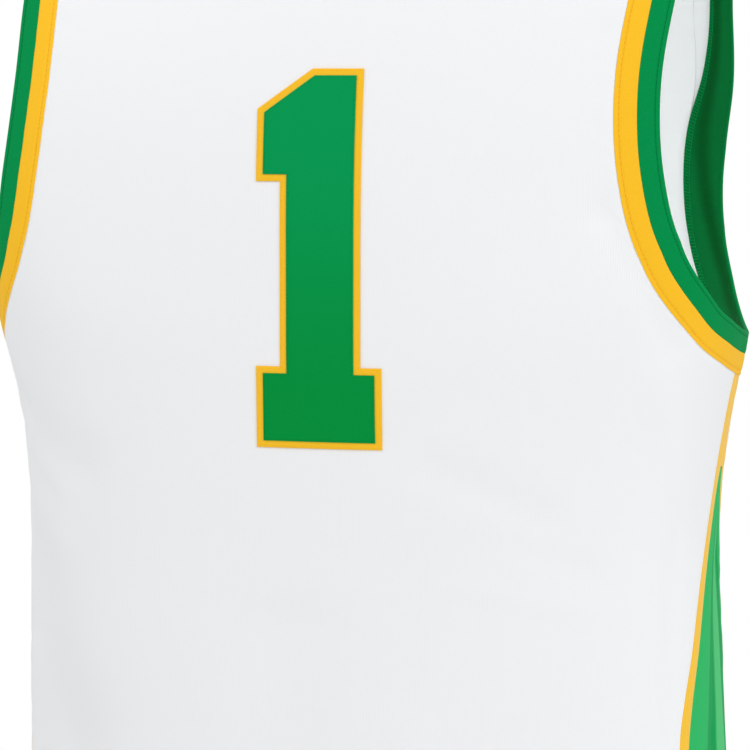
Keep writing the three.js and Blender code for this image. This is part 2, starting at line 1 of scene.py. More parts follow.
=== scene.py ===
# %% [markdown]
# # A basketball jersey with nobody in it
#
# The jersey is a tube of knit cloth, open at the hem, the neck and both armholes. It is sewn from a
# back, a front, two wedge side panels with narrow strips beside them, folded trims round the three
# holes and a two-layer numeral. The imported model gives each cut piece as a solid. This lesson dresses
# them: every cloth is made again as a thin, finely divided shell on the same surface, with its
# creases, sewing thread and a woven or knitted finish.
#
# A cloth simulation could find the creases, but then they would fall where the solver likes. Here
# they are listed in a short table, so they sit where the real ones are.

# %% Load the imported part
import math

import bpy
import numpy as np
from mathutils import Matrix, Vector


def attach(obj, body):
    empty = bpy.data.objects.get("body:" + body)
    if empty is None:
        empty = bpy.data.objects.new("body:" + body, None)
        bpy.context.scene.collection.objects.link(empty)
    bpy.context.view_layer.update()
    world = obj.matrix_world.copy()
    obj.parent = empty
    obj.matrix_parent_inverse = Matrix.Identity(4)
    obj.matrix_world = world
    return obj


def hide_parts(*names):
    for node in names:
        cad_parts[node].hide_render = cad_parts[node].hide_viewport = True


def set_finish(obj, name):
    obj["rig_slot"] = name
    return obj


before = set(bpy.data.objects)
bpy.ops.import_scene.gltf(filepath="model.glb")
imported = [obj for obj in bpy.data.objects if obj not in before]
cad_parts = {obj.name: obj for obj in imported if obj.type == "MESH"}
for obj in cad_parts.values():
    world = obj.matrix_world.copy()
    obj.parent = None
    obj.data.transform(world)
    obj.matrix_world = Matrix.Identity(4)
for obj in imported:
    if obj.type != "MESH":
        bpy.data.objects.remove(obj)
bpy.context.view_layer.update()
print("CAD nodes:", ", ".join(sorted(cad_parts)))

# %% [markdown]
# ## The camera
#
# A long lens from two metres away, a little to the wearer's right of straight behind and a little
# lower than the shoulders. The picture is 750 pixels square, and a lens in millimetres is its focal
# length in pixels times the sensor's width over the picture's width.

# %% Camera
PICTURE_SIDE = 750
FOCAL_PIXELS = 3635
SENSOR = 36.0
AZIMUTH = math.radians(15.9)
DISTANCE = 2.1
EYE_HEIGHT = -0.150
AIM = Vector((0.0, 0.0, -0.3339))

camera_data = bpy.data.cameras.new("camera")
camera_data.sensor_width = SENSOR
camera_data.lens = SENSOR * FOCAL_PIXELS / PICTURE_SIDE
camera = bpy.data.objects.new("camera", camera_data)
bpy.context.scene.collection.objects.link(camera)
camera.location = (DISTANCE * math.sin(AZIMUTH), -DISTANCE * math.cos(AZIMUTH), EYE_HEIGHT)
camera.rotation_euler = (AIM - camera.location).to_track_quat("-Z", "Y").to_euler()
bpy.context.scene.camera = camera
print(f"lens {camera_data.lens:.1f} mm at {DISTANCE} m")

# %% [markdown]
# ## One surface for every piece
#
# All pieces lie on one surface, cloth(theta, rise). theta is the angle round the body in degrees, 0
# at the centre of the back, +90 at the wearer's right side and 180 at the centre of the front. rise
# is 0 at the hem, 1 at the shoulder blades and 2 at the shoulder seam. Lengths are in millimetres
# and become metres only when a mesh is made.
#
# The tube could be drawn as loose profiles and lofted, but a formula lets every trim, stitch and
# crease ask the same surface where it is, so nothing floats and nothing sinks in.

# %% Driving sizes
HEM_Z, BLADE_Z = -760.0, -250.0
NECK_HALF_WIDTH, SHOULDER_SLOPE, SHOULDER_ROUNDING = 92.0, 0.4, 70.0
SIDE_THETA = 89.8
SEAM_TOP = 1.999
GAP = 0.08
TRIM = 12.5
SECTIONS = np.array([
    # z, half width, depth behind, depth in front, squareness
    (-760, 216, 122, 122, 0.16), (-680, 211.5, 121, 121, 0.16), (-600, 207, 119, 120, 0.17),
    (-543, 205, 118, 119, 0.18), (-490, 203.5, 117, 118, 0.19), (-430, 202, 116, 118, 0.2),
    (-385, 204, 117, 119, 0.2), (-345, 210, 118, 120, 0.2), (-310, 218, 119, 121, 0.2),
    (-280, 223.5, 119, 122, 0.2), (-250, 224, 119, 122, 0.2),
])
FLAT_BACK, FLAT_FRONT, FLAT_X, FLAT_FROM, FLAT_OVER = 0.41, 0.33, 232.0, -305.0, 95.0
SWAY = np.array([(-760, 6.5), (-480, -1), (-330, -1), (-200, -5), (-60, 4.5)])


print(f"{len(SECTIONS)} body sections from the hem at {HEM_Z} to {BLADE_Z} mm")

# %% Curves through tables
def curve(stops, values, at):
    """Smooth curve through the rows of a table: cubic pieces whose slope at each row is the slope
    between its two neighbours."""
    stops, values, at = (np.asarray(a, float) for a in (stops, values, at))
    last = len(stops) - 1
    index = np.arange(last + 1)
    before, after = np.maximum(index - 1, 0), np.minimum(index + 1, last)
    slope = (values[after] - values[before]) / (stops[after] - stops[before])
    i = np.clip(np.searchsorted(stops[1:-1], at), 0, last - 1)
    span = stops[i + 1] - stops[i]
    t = np.clip((at - stops[i]) / span, 0, 1)
    start = (2 * t**3 - 3 * t**2 + 1) * values[i] + (t**3 - 2 * t**2 + t) * span * slope[i]
    end = (-2 * t**3 + 3 * t**2) * values[i + 1] + (t**3 - t**2) * span * slope[i + 1]
    return start + end


def ease(t):
    """Runs from 0 to 1 with level ends: 3 t squared less 2 t cubed."""
    t = np.clip(t, 0, 1)
    return t * t * (3 - 2 * t)


print("an ease at a quarter, a half and three quarters:", ease(np.array([0.25, 0.5, 0.75])))

# %% The cloth formula
def height_of(rise):
    return HEM_Z + (BLADE_Z - HEM_Z) * np.minimum(rise, 1)


def shoulder_height(x):
    """The shoulder falls away from the neck along a hyperbola, so it is round near the neck."""
    return SHOULDER_SLOPE * (math.hypot(NECK_HALF_WIDTH, SHOULDER_ROUNDING)
                             - np.hypot(x, SHOULDER_ROUNDING))


def cloth(theta, rise):
    """Point of the body tube. Up to the shoulder blades it is a squared-off oval at height z. Above
    them the same oval closes over a quarter turn, the arch: its depth shrinks with the cosine and
    its height grows with the sine, up to the shoulder line."""
    theta, rise = np.broadcast_arrays(np.asarray(theta, float), np.asarray(rise, float))
    sin, cos = np.sin(np.radians(theta)), np.cos(np.radians(theta))
    low = height_of(rise)
    half, back, front, square = (curve(SECTIONS[:, 0], SECTIONS[:, k], low) for k in (1, 2, 3, 4))
    x = half * sin * (1 + square * cos**2)
    arch = np.clip(rise - 1, 0, 1) * np.pi / 2
    z = np.where(rise <= 1, low, BLADE_Z + (shoulder_height(x) - BLADE_Z) * np.sin(arch))
    ring = -cos * (1 + square * sin**2) * ((back + front) / 2 + (back - front) / 2 * cos)
    fall = (x / FLAT_X) ** 2
    flat = np.where(cos > 0, -back * (1 - FLAT_BACK * fall), front * (1 - FLAT_FRONT * fall))
    mix = ease((z - FLAT_FROM) / FLAT_OVER)
    return np.stack([x, (ring * (1 - mix) + flat * mix) * np.cos(arch), z], -1)


print("chest, mm across:", np.round(2 * cloth(90, 1)[0]), " hem:", np.round(2 * cloth(90, 0)[0]))

# %% Directions on the cloth
def unit(vectors):
    return vectors / np.linalg.norm(vectors, axis=-1, keepdims=True)


def dot(a, b):
    return (a * b).sum(-1)


def frame_at(theta, rise):
    """How the surface runs with theta and with rise, by small differences, and its outward normal,
    which is square to both."""
    turn, lift = 0.05, 1e-3
    theta, rise = np.broadcast_arrays(np.asarray(theta, float), np.asarray(rise, float))
    top = rise > 2 - lift
    below = np.where(top, rise - lift, rise - lift / 2)
    above = np.where(top, rise, rise + lift / 2)
    around = (cloth(theta + turn, rise) - cloth(theta - turn, rise)) / (2 * turn)
    up = (cloth(theta, above) - cloth(theta, below)) / (above - below)[..., None]
    return around, up, unit(np.cross(around, up))


print("outwards at the centre of the back:", np.round(frame_at(0, 0.5)[2], 2))

# %% [markdown]
# ## Folds and creases
#
# Cloth on a body hangs in a few large, soft folds, with smaller creases where it is pushed together
# under the arms. Each one is a ridge or a trough along a straight line drawn on the cloth: its
# height falls off on both sides as a bell curve. A row of the table says where the line starts and
# ends, how wide the bell is and how high. The first rows are the solids' own folds, and the later
# ones are finer and only here. Towards the hem the tube also gets slow waves, as loose cloth does.

# %% Tables of folds
FOLDS = np.array([
    # theta, z, to theta, to z, width, height
    (-76, -338, -62, -352, 13, -2.2), (-62, -352, -40, -381, 15, -2.2),
    (-76, -392, -48, -424, 15, 2), (-57, -430, -46, -535, 24, -3), (-46, -535, -42, -790, 30, -4),
    (38.5, -140, 40, -235, 9, -1.1), (40, -235, 55, -308, 10, -1.6), (56, -328, 68, -395, 16, 2.2),
    (66, -405, 62, -520, 12, -1.8), (-4, -470, -9, -790, 22, -2.4), (19, -334, 9, -362, 8, -0.8),
    (15, -374, 33, -402, 10, -1.1), (138, -150, 128, -205, 12, 1.4), (108, -335, 140, -392, 15, -2.4),
    (-110, -338, -138, -385, 16, -2.2), (132, -470, 140, -790, 28, -3.6),
    (-150, -430, -141, -790, 26, -3), (171, -500, 166, -790, 24, 2.4),
])
CREASES = np.array([
    (-80, -345, -66, -372, 6, -0.7), (-72, -330, -58, -338, 5, 0.5), (-70, -372, -50, -398, 7, -0.8),
    (-66, -440, -58, -505, 9, 0.9), (-36, -560, -33, -700, 12, 1.2), (-52, -610, -50, -745, 10, 0.9),
    (28, -416, 44, -436, 7, -0.6), (20, -440, 40, -452, 6, 0.45), (60, -352, 50, -366, 5, -0.5),
    (58, -520, 54, -640, 10, 0.9), (40, -600, 38, -750, 13, -1.1), (12, -520, 10, -650, 11, 0.7),
    (-22, -640, -25, -750, 12, -0.9), (5, -62, 22, -74, 9, -0.5), (-12, -60, -30, -78, 8, -0.45),
    (120, -340, 134, -362, 6, -0.7), (150, -420, 168, -448, 8, -0.6),
    (-122, -350, -140, -366, 6, -0.6), (-160, -455, -172, -520, 9, 0.7),
    (-126, -520, -122, -640, 11, 1.0), (118, -540, 121, -680, 11, 1.0),
    (-100, -350, -112, -380, 7, 0.8), (100, -352, 112, -384, 7, 0.8),
    (152, -600, 155, -745, 13, -1.2), (-176, -180, 172, -330, 14, -0.8),
    (-90, -332, -86, -360, 6, -0.7),
    # the right side seam stands up and the front falls away behind it
    (90.3, -316, 90.8, -375, 7, 1.0), (91.5, -385, 94.5, -440, 8, 0.8),
    (95.5, -452, 99, -490, 9, 0.4), (99.5, -316, 100.5, -405, 11, -2.3),
    (101.5, -412, 105, -455, 10, -1.9), (106, -460, 109, -500, 10, -1.0),
    (91, -430, 82.5, -533, 6, -0.8), (82.5, -533, 79, -680, 8, -1.0),
    # the left side stands out in a long ridge between two troughs
    (-72, -394, -66, -406, 11, -3.4), (-64, -500, -64, -700, 8, 0.7),
    (-75, -440, -75, -740, 10, -2.1), (-74, -338, -69, -348, 9, 2.0),
    (-95, -440, -86, -560, 7, -1.2), (-71, -490, -70.5, -750, 8, -1.8),
    (-61, -490, -61, -760, 8, 1.9),
])
FLUTES = np.array([(3, 2, 0.3), (5, 0.6, 0.5), (8, -1.1, 0.3)])   # waves, shift, part
FLUTE_DEPTH, FLUTES_START_Z = 5.0, -430.0
ARC_PER_DEGREE, ARC_PER_RISE = 2.9, 400.0
CELL_SCALE = np.array([ARC_PER_DEGREE, ARC_PER_RISE])


print(f"{len(FOLDS)} folds and {len(CREASES)} creases")

# %% Folded cloth
def fold_depth(theta, z):
    """How far the folds move the cloth out: the sum of the bells over the distance to each line,
    and cosine waves round the body that grow towards the hem."""
    depth = np.zeros(np.broadcast(theta, z).shape)
    for theta1, z1, theta2, z2, width, height in np.concatenate([FOLDS, CREASES]):
        turn = theta - theta1
        u = (turn - 360 * np.round(turn / 360)) * ARC_PER_DEGREE
        v = z - z1
        way = theta2 - theta1
        du, dv = (way - 360 * np.round(way / 360)) * ARC_PER_DEGREE, z2 - z1
        t = np.clip((u * du + v * dv) / (du * du + dv * dv), 0, 1)
        depth += height * np.exp(-(((u - t * du) ** 2 + (v - t * dv) ** 2) / width**2))
    swing = FLUTE_DEPTH * ease((FLUTES_START_Z - z) / (FLUTES_START_Z - HEM_Z))
    for waves, shift, part in FLUTES:
        depth += swing * part * np.cos(waves * np.radians(theta) + shift)
    return depth


def put(places, depth=0.0):
    """Point of a piece: a place on the cloth, moved out along the normal by the folds and by depth,
    then moved sideways as the jersey sways."""
    theta, rise = places[..., 0], places[..., 1]
    point = cloth(theta, rise)
    out = fold_depth(theta, point[..., 2]) + depth
    point = point + frame_at(theta, rise)[2] * out[..., None]
    point[..., 0] += curve(SWAY[:, 0], SWAY[:, 1], point[..., 2])
    return point


around_hem = fold_depth(np.linspace(0, 360, 361), HEM_Z)
print(f"folds at the hem: {around_hem.min():.1f} to {around_hem.max():.1f} mm")

# %% [markdown]
# ## Where the holes are
#
# The armhole and the neck are closed curves on the cloth. Their tables give widths at heights, as a
# pattern maker would measure them. A smooth curve goes through these places and is then divided
# into stations that are equally far apart, because a trim of even width needs even stations.

# %% Places on the cloth
ARM_SIDES = np.array([
    # z, half width of the back, half width of the front
    (-115, 189.5, 195.2), (-165, 187.5, 197.5), (-215, 192, 192),
    (-255, 201, 193.4), (-285, 214.3, 201.4),
])
ARM_SHOULDER_X = 196.5
ARM_LOW = np.array([(79, -296.7), (89, -303.3), (101, -306.7), (113, -301.8)])      # theta, z
NECK_BACK = np.array([(0, -45), (36, -43), (66, -34), (85, -17)])                   # x, z
NECK_FRONT = np.array([(91, -34), (81, -70), (60, -99), (31, -115), (0, -120)])     # x, z
ARM_STATIONS, NECK_BACK_STATIONS, NECK_FRONT_STATIONS = 440, 60, 84
HALVINGS, OVERSAMPLED = 40, 8


def theta_at(x):
    """Angle whose place at the shoulder blades is x from the middle, found by halving."""
    low, high = np.zeros_like(np.asarray(x, float)), np.full_like(np.asarray(x, float), 90.0)
    for _ in range(HALVINGS):
        middle = (low + high) / 2
        short = cloth(middle, 1.0)[..., 0] < x
        low, high = np.where(short, middle, low), np.where(short, high, middle)
    return (low + high) / 2


def rise_at(z, x=0.0):
    """The rise whose height is z: the cloth formula turned round."""
    z = np.asarray(z, float)
    share = np.clip((z - BLADE_Z) / (shoulder_height(x) - BLADE_Z), 0, 1)
    return np.where(z <= BLADE_Z, (z - HEM_Z) / (BLADE_Z - HEM_Z), 1 + np.arcsin(share) / (np.pi / 2))


def back_places(x, z):
    return np.stack([theta_at(x), rise_at(z, x)], -1)


def front_places(x, z):
    return back_places(x, z) * (-1, 1) + (180, 0)


print(f"100 mm from the middle of the blades is at {float(theta_at(100.0)):.1f} degrees")

# %% Even stations
def beyond(end, inner):
    """The place that continues a curve past its end: mirrored in the shoulder seam, or in the
    centre line that the curve ends on."""
    return (inner[0], 4 - inner[1]) if end[1] == 2 else (2 * end[0] - inner[0], inner[1])


def lengths_along(points):
    """Running length of a line of points."""
    steps = np.linalg.norm(np.diff(points, axis=0), axis=-1)
    return np.concatenate([[0.0], np.cumsum(steps)])


def evenly(line, count):
    """count + 1 places, equally far apart, on a line of places."""
    far = lengths_along(cloth(line[:, 0], line[:, 1]))
    want = np.linspace(0, far[-1], count + 1)
    return np.stack([np.interp(want, far, line[:, k]) for k in (0, 1)], -1)


def spread(places, count):
    """Evenly spaced places on a smooth curve through the given places."""
    ends = beyond(places[0], places[1]), beyond(places[-1], places[-2])
    table = np.array([ends[0], *places, ends[1]])
    far = lengths_along(table * CELL_SCALE)
    at = np.linspace(far[1], far[-2], OVERSAMPLED * count + 1)
    rise = np.minimum(curve(far, table[:, 1], at), 2)
    return evenly(np.stack([curve(far, table[:, 0], at), rise], -1), count)


print("along two sides of a 3 by 4 corner:", lengths_along(np.array([(0, 0), (3, 0), (3, 4)])))

# %% Moving a loop
def moved(loop, distance, steps=10):
    """The same closed loop, moved away from its hole along the cloth: every station walks in small
    steps in the direction that is square to the loop and lies in the cloth."""
    theta, rise = loop[:, 0].copy(), loop[:, 1].copy()
    on_seam = rise >= 2
    points = cloth(theta, rise)
    away = np.cross(np.roll(points, -1, 0) - np.roll(points, 1, 0), frame_at(theta, rise)[2])
    for _ in range(steps):
        around, up, normal = frame_at(theta, rise)
        away = unit(away - normal * dot(away, normal)[:, None])
        aa, au, uu = dot(around, around), dot(around, up), dot(up, up)
        a, u = dot(around, away), dot(up, away)
        scale = distance / steps / (aa * uu - au * au)
        theta += (a * uu - u * au) * scale
        rise = np.minimum(rise + (u * aa - a * au) * scale, 2)
    return np.stack([theta, np.where(on_seam, 2, rise)], -1)


def mirrored(places):
    return places * (-1, 1)


# %% The holes
shoulder = float(theta_at(ARM_SHOULDER_X))
armhole = spread(np.array([
    (shoulder, 2),
    *back_places(ARM_SIDES[:, 1], ARM_SIDES[:, 0]),
    *np.stack([ARM_LOW[:, 0], rise_at(ARM_LOW[:, 1])], -1),
    *front_places(ARM_SIDES[:, 2], ARM_SIDES[:, 0])[::-1],
    (180 - shoulder, 2),
]), ARM_STATIONS)[:-1]
neck_end = float(theta_at(NECK_HALF_WIDTH))
neck_back = spread(np.array([*back_places(*NECK_BACK.T), (neck_end, 2)]), NECK_BACK_STATIONS)
neck_front = spread(np.array([(180 - neck_end, 2), *front_places(*NECK_FRONT.T)]), NECK_FRONT_STATIONS)
neck_right = np.concatenate([neck_back, neck_front[1:]])
neck = np.concatenate([neck_right, mirrored(neck_right[1:-1])[::-1]])
arm_edge, neck_edge = moved(armhole, 2 * TRIM + GAP), moved(neck, 2 * TRIM + GAP)
for title, loop in (("armhole", armhole), ("neck", neck)):
    closed = put(np.concatenate([loop, loop[:1]]))
    print(f"{title}: {lengths_along(closed)[-1]:.0f} mm round, {len(loop)} stations")

# %% [markdown]
# ## From grids of points to cloth
#
# A piece of cloth is two grids of points, its outer and inner face, joined by a rim all round. The
# quads of a grid come from four shifted copies of its index table, and the rim runs along every
# edge that only one quad uses. A Solidify modifier could add the thickness, but the hem and the
# folded trims are thicker in places, so both faces are worked out here.

# %% Mesh helpers
MILLIMETRE = 0.001
SHARP_ANGLE = math.radians(48)


def quads_of(index):
    """Corners of the quads of an index table, anticlockwise seen from outside: along a row first,
    then up to the next."""
    return np.stack([index[:-1, :-1], index[:-1, 1:], index[1:, 1:], index[1:, :-1]], -1).reshape(-1, 4)


def make_mesh(name, points, faces, uvs):
    """Puts arrays of points (millimetres), quads and corner UVs (metres) into a smooth mesh."""
    mesh = bpy.data.meshes.new(name)
    mesh.vertices.add(len(points))
    mesh.vertices.foreach_set("co", (points * MILLIMETRE).astype(np.float32).ravel())
    mesh.loops.add(faces.size)
    mesh.loops.foreach_set("vertex_index", faces.astype(np.int32).ravel())
    mesh.polygons.add(len(faces))
    starts = np.arange(len(faces), dtype=np.int32) * faces.shape[1]
    mesh.polygons.foreach_set("loop_start", starts)
    mesh.polygons.foreach_set("use_smooth", np.ones(len(faces), bool))
    layer = mesh.uv_layers.new(name="cut")
    layer.data.foreach_set("uv", uvs.astype(np.float32).ravel())
    mesh.update(calc_edges=True)
    mesh.validate()
    mesh.set_sharp_from_angle(angle=SHARP_ANGLE)
    piece = bpy.data.objects.new(name, mesh)
    bpy.context.scene.collection.objects.link(piece)
    return piece


print("a 3 by 3 index table gives", len(quads_of(np.arange(9).reshape(3, 3))), "quads")

# %% Shells and rings
def cloth_piece(name, outer, inner, uv, keep=None):
    """Closed shell of two grids of points. keep is a mask of the cells that are cloth."""
    rows, columns = outer.shape[:2]
    index = np.arange(rows * columns).reshape(rows, columns)
    face = quads_of(index)
    if keep is not None:
        face = face[keep.ravel()]
    size = rows * columns
    start, end = face.ravel(), np.roll(face, -1, 1).ravel()
    open_edge = ~np.isin(start * size + end, end * size + start)
    a, b = start[open_edge], end[open_edge]
    rim = np.stack([b, a, a + size, b + size], -1)
    faces = np.concatenate([face, face[:, ::-1] + size, rim])
    points = np.concatenate([outer.reshape(-1, 3), inner.reshape(-1, 3)])
    flat = np.tile(uv.reshape(-1, 2), (2, 1))[faces]
    used, faces = np.unique(faces, return_inverse=True)
    return make_mesh(name, points[used], faces.reshape(-1, 4), flat)


def ring_piece(name, sections, uv, flip):
    """Closed ring: a closed section at every station of a closed loop. sections is stations by
    section points, and uv has one row and one column more, where the ring closes."""
    rows, columns = sections.shape[:2]
    index = np.pad(np.arange(rows * columns).reshape(rows, columns), ((0, 1), (0, 1)), mode="wrap")
    faces = quads_of(index)
    flat = quads_of(np.arange(uv.shape[0] * uv.shape[1]).reshape(uv.shape[:2]))
    if flip:
        faces, flat = faces[:, ::-1], flat[:, ::-1]
    return make_mesh(name, sections.reshape(-1, 3), faces, uv.reshape(-1, 2)[flat])


# %% Flat coordinates
ARC_REACH, CHEST_RISE = 270, 0.8
ARC_STOPS = np.linspace(-ARC_REACH, ARC_REACH, 2 * ARC_REACH + 1)
ARC_TABLE = lengths_along(cloth(ARC_STOPS, CHEST_RISE))
ARC_TABLE -= ARC_TABLE[ARC_REACH]
RISE_STOPS = np.linspace(0, 2, 401)
RISE_TABLE = lengths_along(cloth(0.0, RISE_STOPS))


def cut_uv(places):
    """Where a place is on the flat cut, in metres: across by the length round the chest, and up by
    the length of the centre line. Knit and stripes are drawn in these coordinates."""
    across = np.interp(places[..., 0], ARC_STOPS, ARC_TABLE)
    up = np.interp(places[..., 1], RISE_STOPS, RISE_TABLE)
    return np.stack([across, up], -1) * MILLIMETRE


half_round = ARC_TABLE[ARC_REACH + 180]
print(f"cloth round the chest: {2 * half_round:.0f} mm, up the back: {RISE_TABLE[-1]:.0f} mm")

# %% [markdown]
# ## The sides of the panels
#
# A seam line beside the side panel is a distance round the body from the middle of the side, read
# from a table by height. A place at such a distance is reached by walking round the body in small
# steps. The line ends at the armhole trim, which is met by a few rounds of trial.

# %% Side lines
STRIP_EDGE = np.array([
    # z, distance of the strips' outer edge from the middle of the side
    (-760, 89.6), (-660, 76.6), (-580, 64.6), (-533, 58.2), (-507, 51.5), (-480, 41.5), (-453, 32.2),
    (-426, 22.7), (-399, 14), (-385, 10.8), (-372, 8.9), (-352, 7.8), (-300, 7.8),
])
STRIP_WIDTH, WEDGE_TIP_Z, WEDGE_TIP_HALF = 8.5, -381.0, 1.2
HEM_LINES = np.array([-760, -759.2, -757.5, -749, -745.5, -744.5, -742.5, -741.5, -740, -738, -734])
SIDE_STEP, TOP_ROWS, TIP_STEP = 4.0, 12, 0.4
UNDER_ARM_REACH, UNDER_ARM_Z, STRIP_TOP_Z = 14.0, -338.0, -352.0


def strip_edge(z):
    return curve(STRIP_EDGE[:, 0], STRIP_EDGE[:, 1], z)


def strip_inner(z):
    """Inner edge of a strip: its width inside the outer edge, and the middle above the wedge."""
    inside = np.maximum(strip_edge(z) - STRIP_WIDTH, WEDGE_TIP_HALF + GAP)
    return np.where(z > WEDGE_TIP_Z, GAP / 2, inside)


def beside_seam(rise, distance, steps=12):
    theta = np.full_like(rise, SIDE_THETA)
    for _ in range(steps):
        theta = theta + distance / steps / np.linalg.norm(frame_at(theta, rise)[0], axis=-1)
    return np.stack([theta, rise], -1)


def under_arm(theta):
    """Height of the panels' edge under the arm, as a rise for each angle."""
    near = np.abs(arm_edge[:, 0] - SIDE_THETA) < UNDER_ARM_REACH
    return np.interp(theta, arm_edge[near, 0], arm_edge[near, 1])


def top_of_side(distance, trials=4):
    """Where a side line meets the trim: the height is tried, and mended by the trim's own."""
    place = beside_seam(rise_at(np.array([UNDER_ARM_Z])), distance)
    for _ in range(trials):
        place = beside_seam(under_arm(place[:, 0]), distance)
    return np.array([place[0, 0], under_arm(place[0, 0])])


def rows_to_tip():
    """Heights of the rows from the hem to the wedge's point: close together where the hem is turned
    up and sewn, and even above it."""
    last = HEM_LINES[-1]
    count = int(round((WEDGE_TIP_Z - last) / SIDE_STEP))
    return np.concatenate([HEM_LINES, np.linspace(last, WEDGE_TIP_Z, count + 1)[1:]])


def side_edge(way, distance_at):
    """Side edge of a panel or strip, from the hem to the armhole trim. way is -1 for the back and 1
    for the front."""
    corner = top_of_side(way * float(distance_at(np.array(STRIP_TOP_Z))))
    above_tip = np.linspace(WEDGE_TIP_Z + TIP_STEP, float(height_of(corner[1])), TOP_ROWS + 1)
    rows = np.concatenate([rows_to_tip(), above_tip[:-1]])
    return np.concatenate([beside_seam(rise_at(rows), way * distance_at(rows)), [corner]])


print("side seam, mm from the middle at the hem and the top:",
      float(strip_edge(HEM_Z)), round(float(strip_edge(STRIP_TOP_Z)), 1))

# %% [markdown]
# ## The back and the front
#
# A panel's grid has to fit a hem, two side seams, two armholes and a neck. Stretching a plain grid
# between those edges folds cells over at the corner under the arm. So a coarse grid is evened out
# first, as a soap film evens itself: each place moves to the weighted average of its neighbours
# until nothing changes. Then it is divided finely, with its rim put back on the true edges.
#
# At a seam the cloth rolls down into the stitching, and along a trim it puckers a little.

# %% Evening out and dividing a grid
PANEL_FINE = 5
ARM_ROWS, SHOULDER_COLUMNS, TOP_BLEND = 22, 6, 1.3
NECK_COLUMNS = {-1: 7, 1: 10}
RELAX_ROUNDS, RELAXED_ROWS_BELOW, CORNER_CLEARANCE = 600, 12, 0.2
EDGE_SHARES = np.array([0.1, 0.25, 0.5])


def relax(grid, first_row):
    """Evens out the cells above a row. Each inner place becomes the average of its neighbours,
    weighted by how tall and wide the cells are there and corrected for their slant."""
    grid = grid.copy()
    inside = slice(first_row + 1, -1)
    for _ in range(RELAX_ROUNDS):
        under, over, here = grid[first_row:-2], grid[first_row + 2:], grid[inside]
        left, right = here[:, :-2], here[:, 2:]
        across = (right - left) / 2 * CELL_SCALE
        upward = (over - under)[:, 1:-1] / 2 * CELL_SCALE
        tall, skew, wide = dot(upward, upward), dot(across, upward), dot(across, across)
        twist = over[:, 2:] - over[:, :-2] - under[:, 2:] + under[:, :-2]
        sides = tall[..., None] * (right + left) + wide[..., None] * (over + under)[:, 1:-1]
        fresh = (sides - skew[..., None] / 2 * twist) / (2 * (tall + wide))[..., None]
        grid[inside, 1:-1] = fresh
    return grid


def finer(grid, times):
    """The grid divided by straight lines, times as fine both ways."""
    for axis in (0, 1):
        last = grid.shape[axis] - 1
        at = np.arange(last * times + 1) / times
        low = np.minimum(at.astype(int), last - 1)
        part = (at - low).reshape((-1, 1, 1) if axis == 0 else (1, -1, 1))
        grid = np.take(grid, low, axis) * (1 - part) + np.take(grid, low + 1, axis) * part
    return grid


def add_edge_lines(grid, top=True):
    """Extra lines close to the side edges and the top edge, where the cloth rolls into the seam."""
    share = EDGE_SHARES.reshape(1, -1, 1)
    first = grid[:, :1] + (grid[:, 1:2] - grid[:, :1]) * share
    last = grid[:, -1:] + (grid[:, -2:-1] - grid[:, -1:]) * share[:, ::-1]
    grid = np.concatenate([grid[:, :1], first, grid[:, 1:-1], last, grid[:, -1:]], 1)
    if top:
        share = EDGE_SHARES[::-1].reshape(-1, 1, 1)
        last = grid[-1:] + (grid[-2:-1] - grid[-1:]) * share
        grid = np.concatenate([grid[:-1], last, grid[-1:]], 0)
    return grid


print("a 3 by 3 grid divided by 5:", finer(np.zeros((3, 3, 2)), 5).shape[:2])

# %% Rims of a panel
def panel_side(z):
    return strip_edge(z) + GAP


def side_rim(way, side):
    """A panel's whole side: the side seam, then the armhole up to the shoulder seam."""
    corner = side[-1]
    past = arm_edge[1:][way * (arm_edge[1:, 0] - corner[0]) > CORNER_CLEARANCE]
    past = past[::-1] if way < 0 else past
    top_theta = arm_edge[0, 0] if way < 0 else 180 - arm_edge[0, 0]
    arm = evenly(np.array([corner, *past, (top_theta, SEAM_TOP)]), ARM_ROWS * PANEL_FINE)
    return np.concatenate([side[:-1], arm])


def top_rim(way, centre, full):
    """Half of a panel's top edge, from the centre line out: half the neck, then the shoulder seam
    out to the angle full. Angles are counted from the centre."""
    first = 0 if way < 0 else NECK_BACK_STATIONS
    count = NECK_BACK_STATIONS if way < 0 else NECK_FRONT_STATIONS
    hole = neck_edge[first:first + count + 1].copy()
    hole[:, 0] = np.abs(hole[:, 0] - centre)
    if way > 0:
        hole[0, 0] = neck_edge[first, 0]
        hole = hole[::-1]
    hole[:, 1] = np.minimum(hole[:, 1], SEAM_TOP)
    hole = evenly(hole, NECK_COLUMNS[way] * PANEL_FINE)
    seam = np.linspace(hole[-1, 0], full, SHOULDER_COLUMNS * PANEL_FINE + 1)[1:]
    return np.concatenate([hole, np.stack([seam, np.full_like(seam, SEAM_TOP)], -1)])


print("places on the rim of a side:", len(side_rim(-1, side_edge(-1, panel_side))))

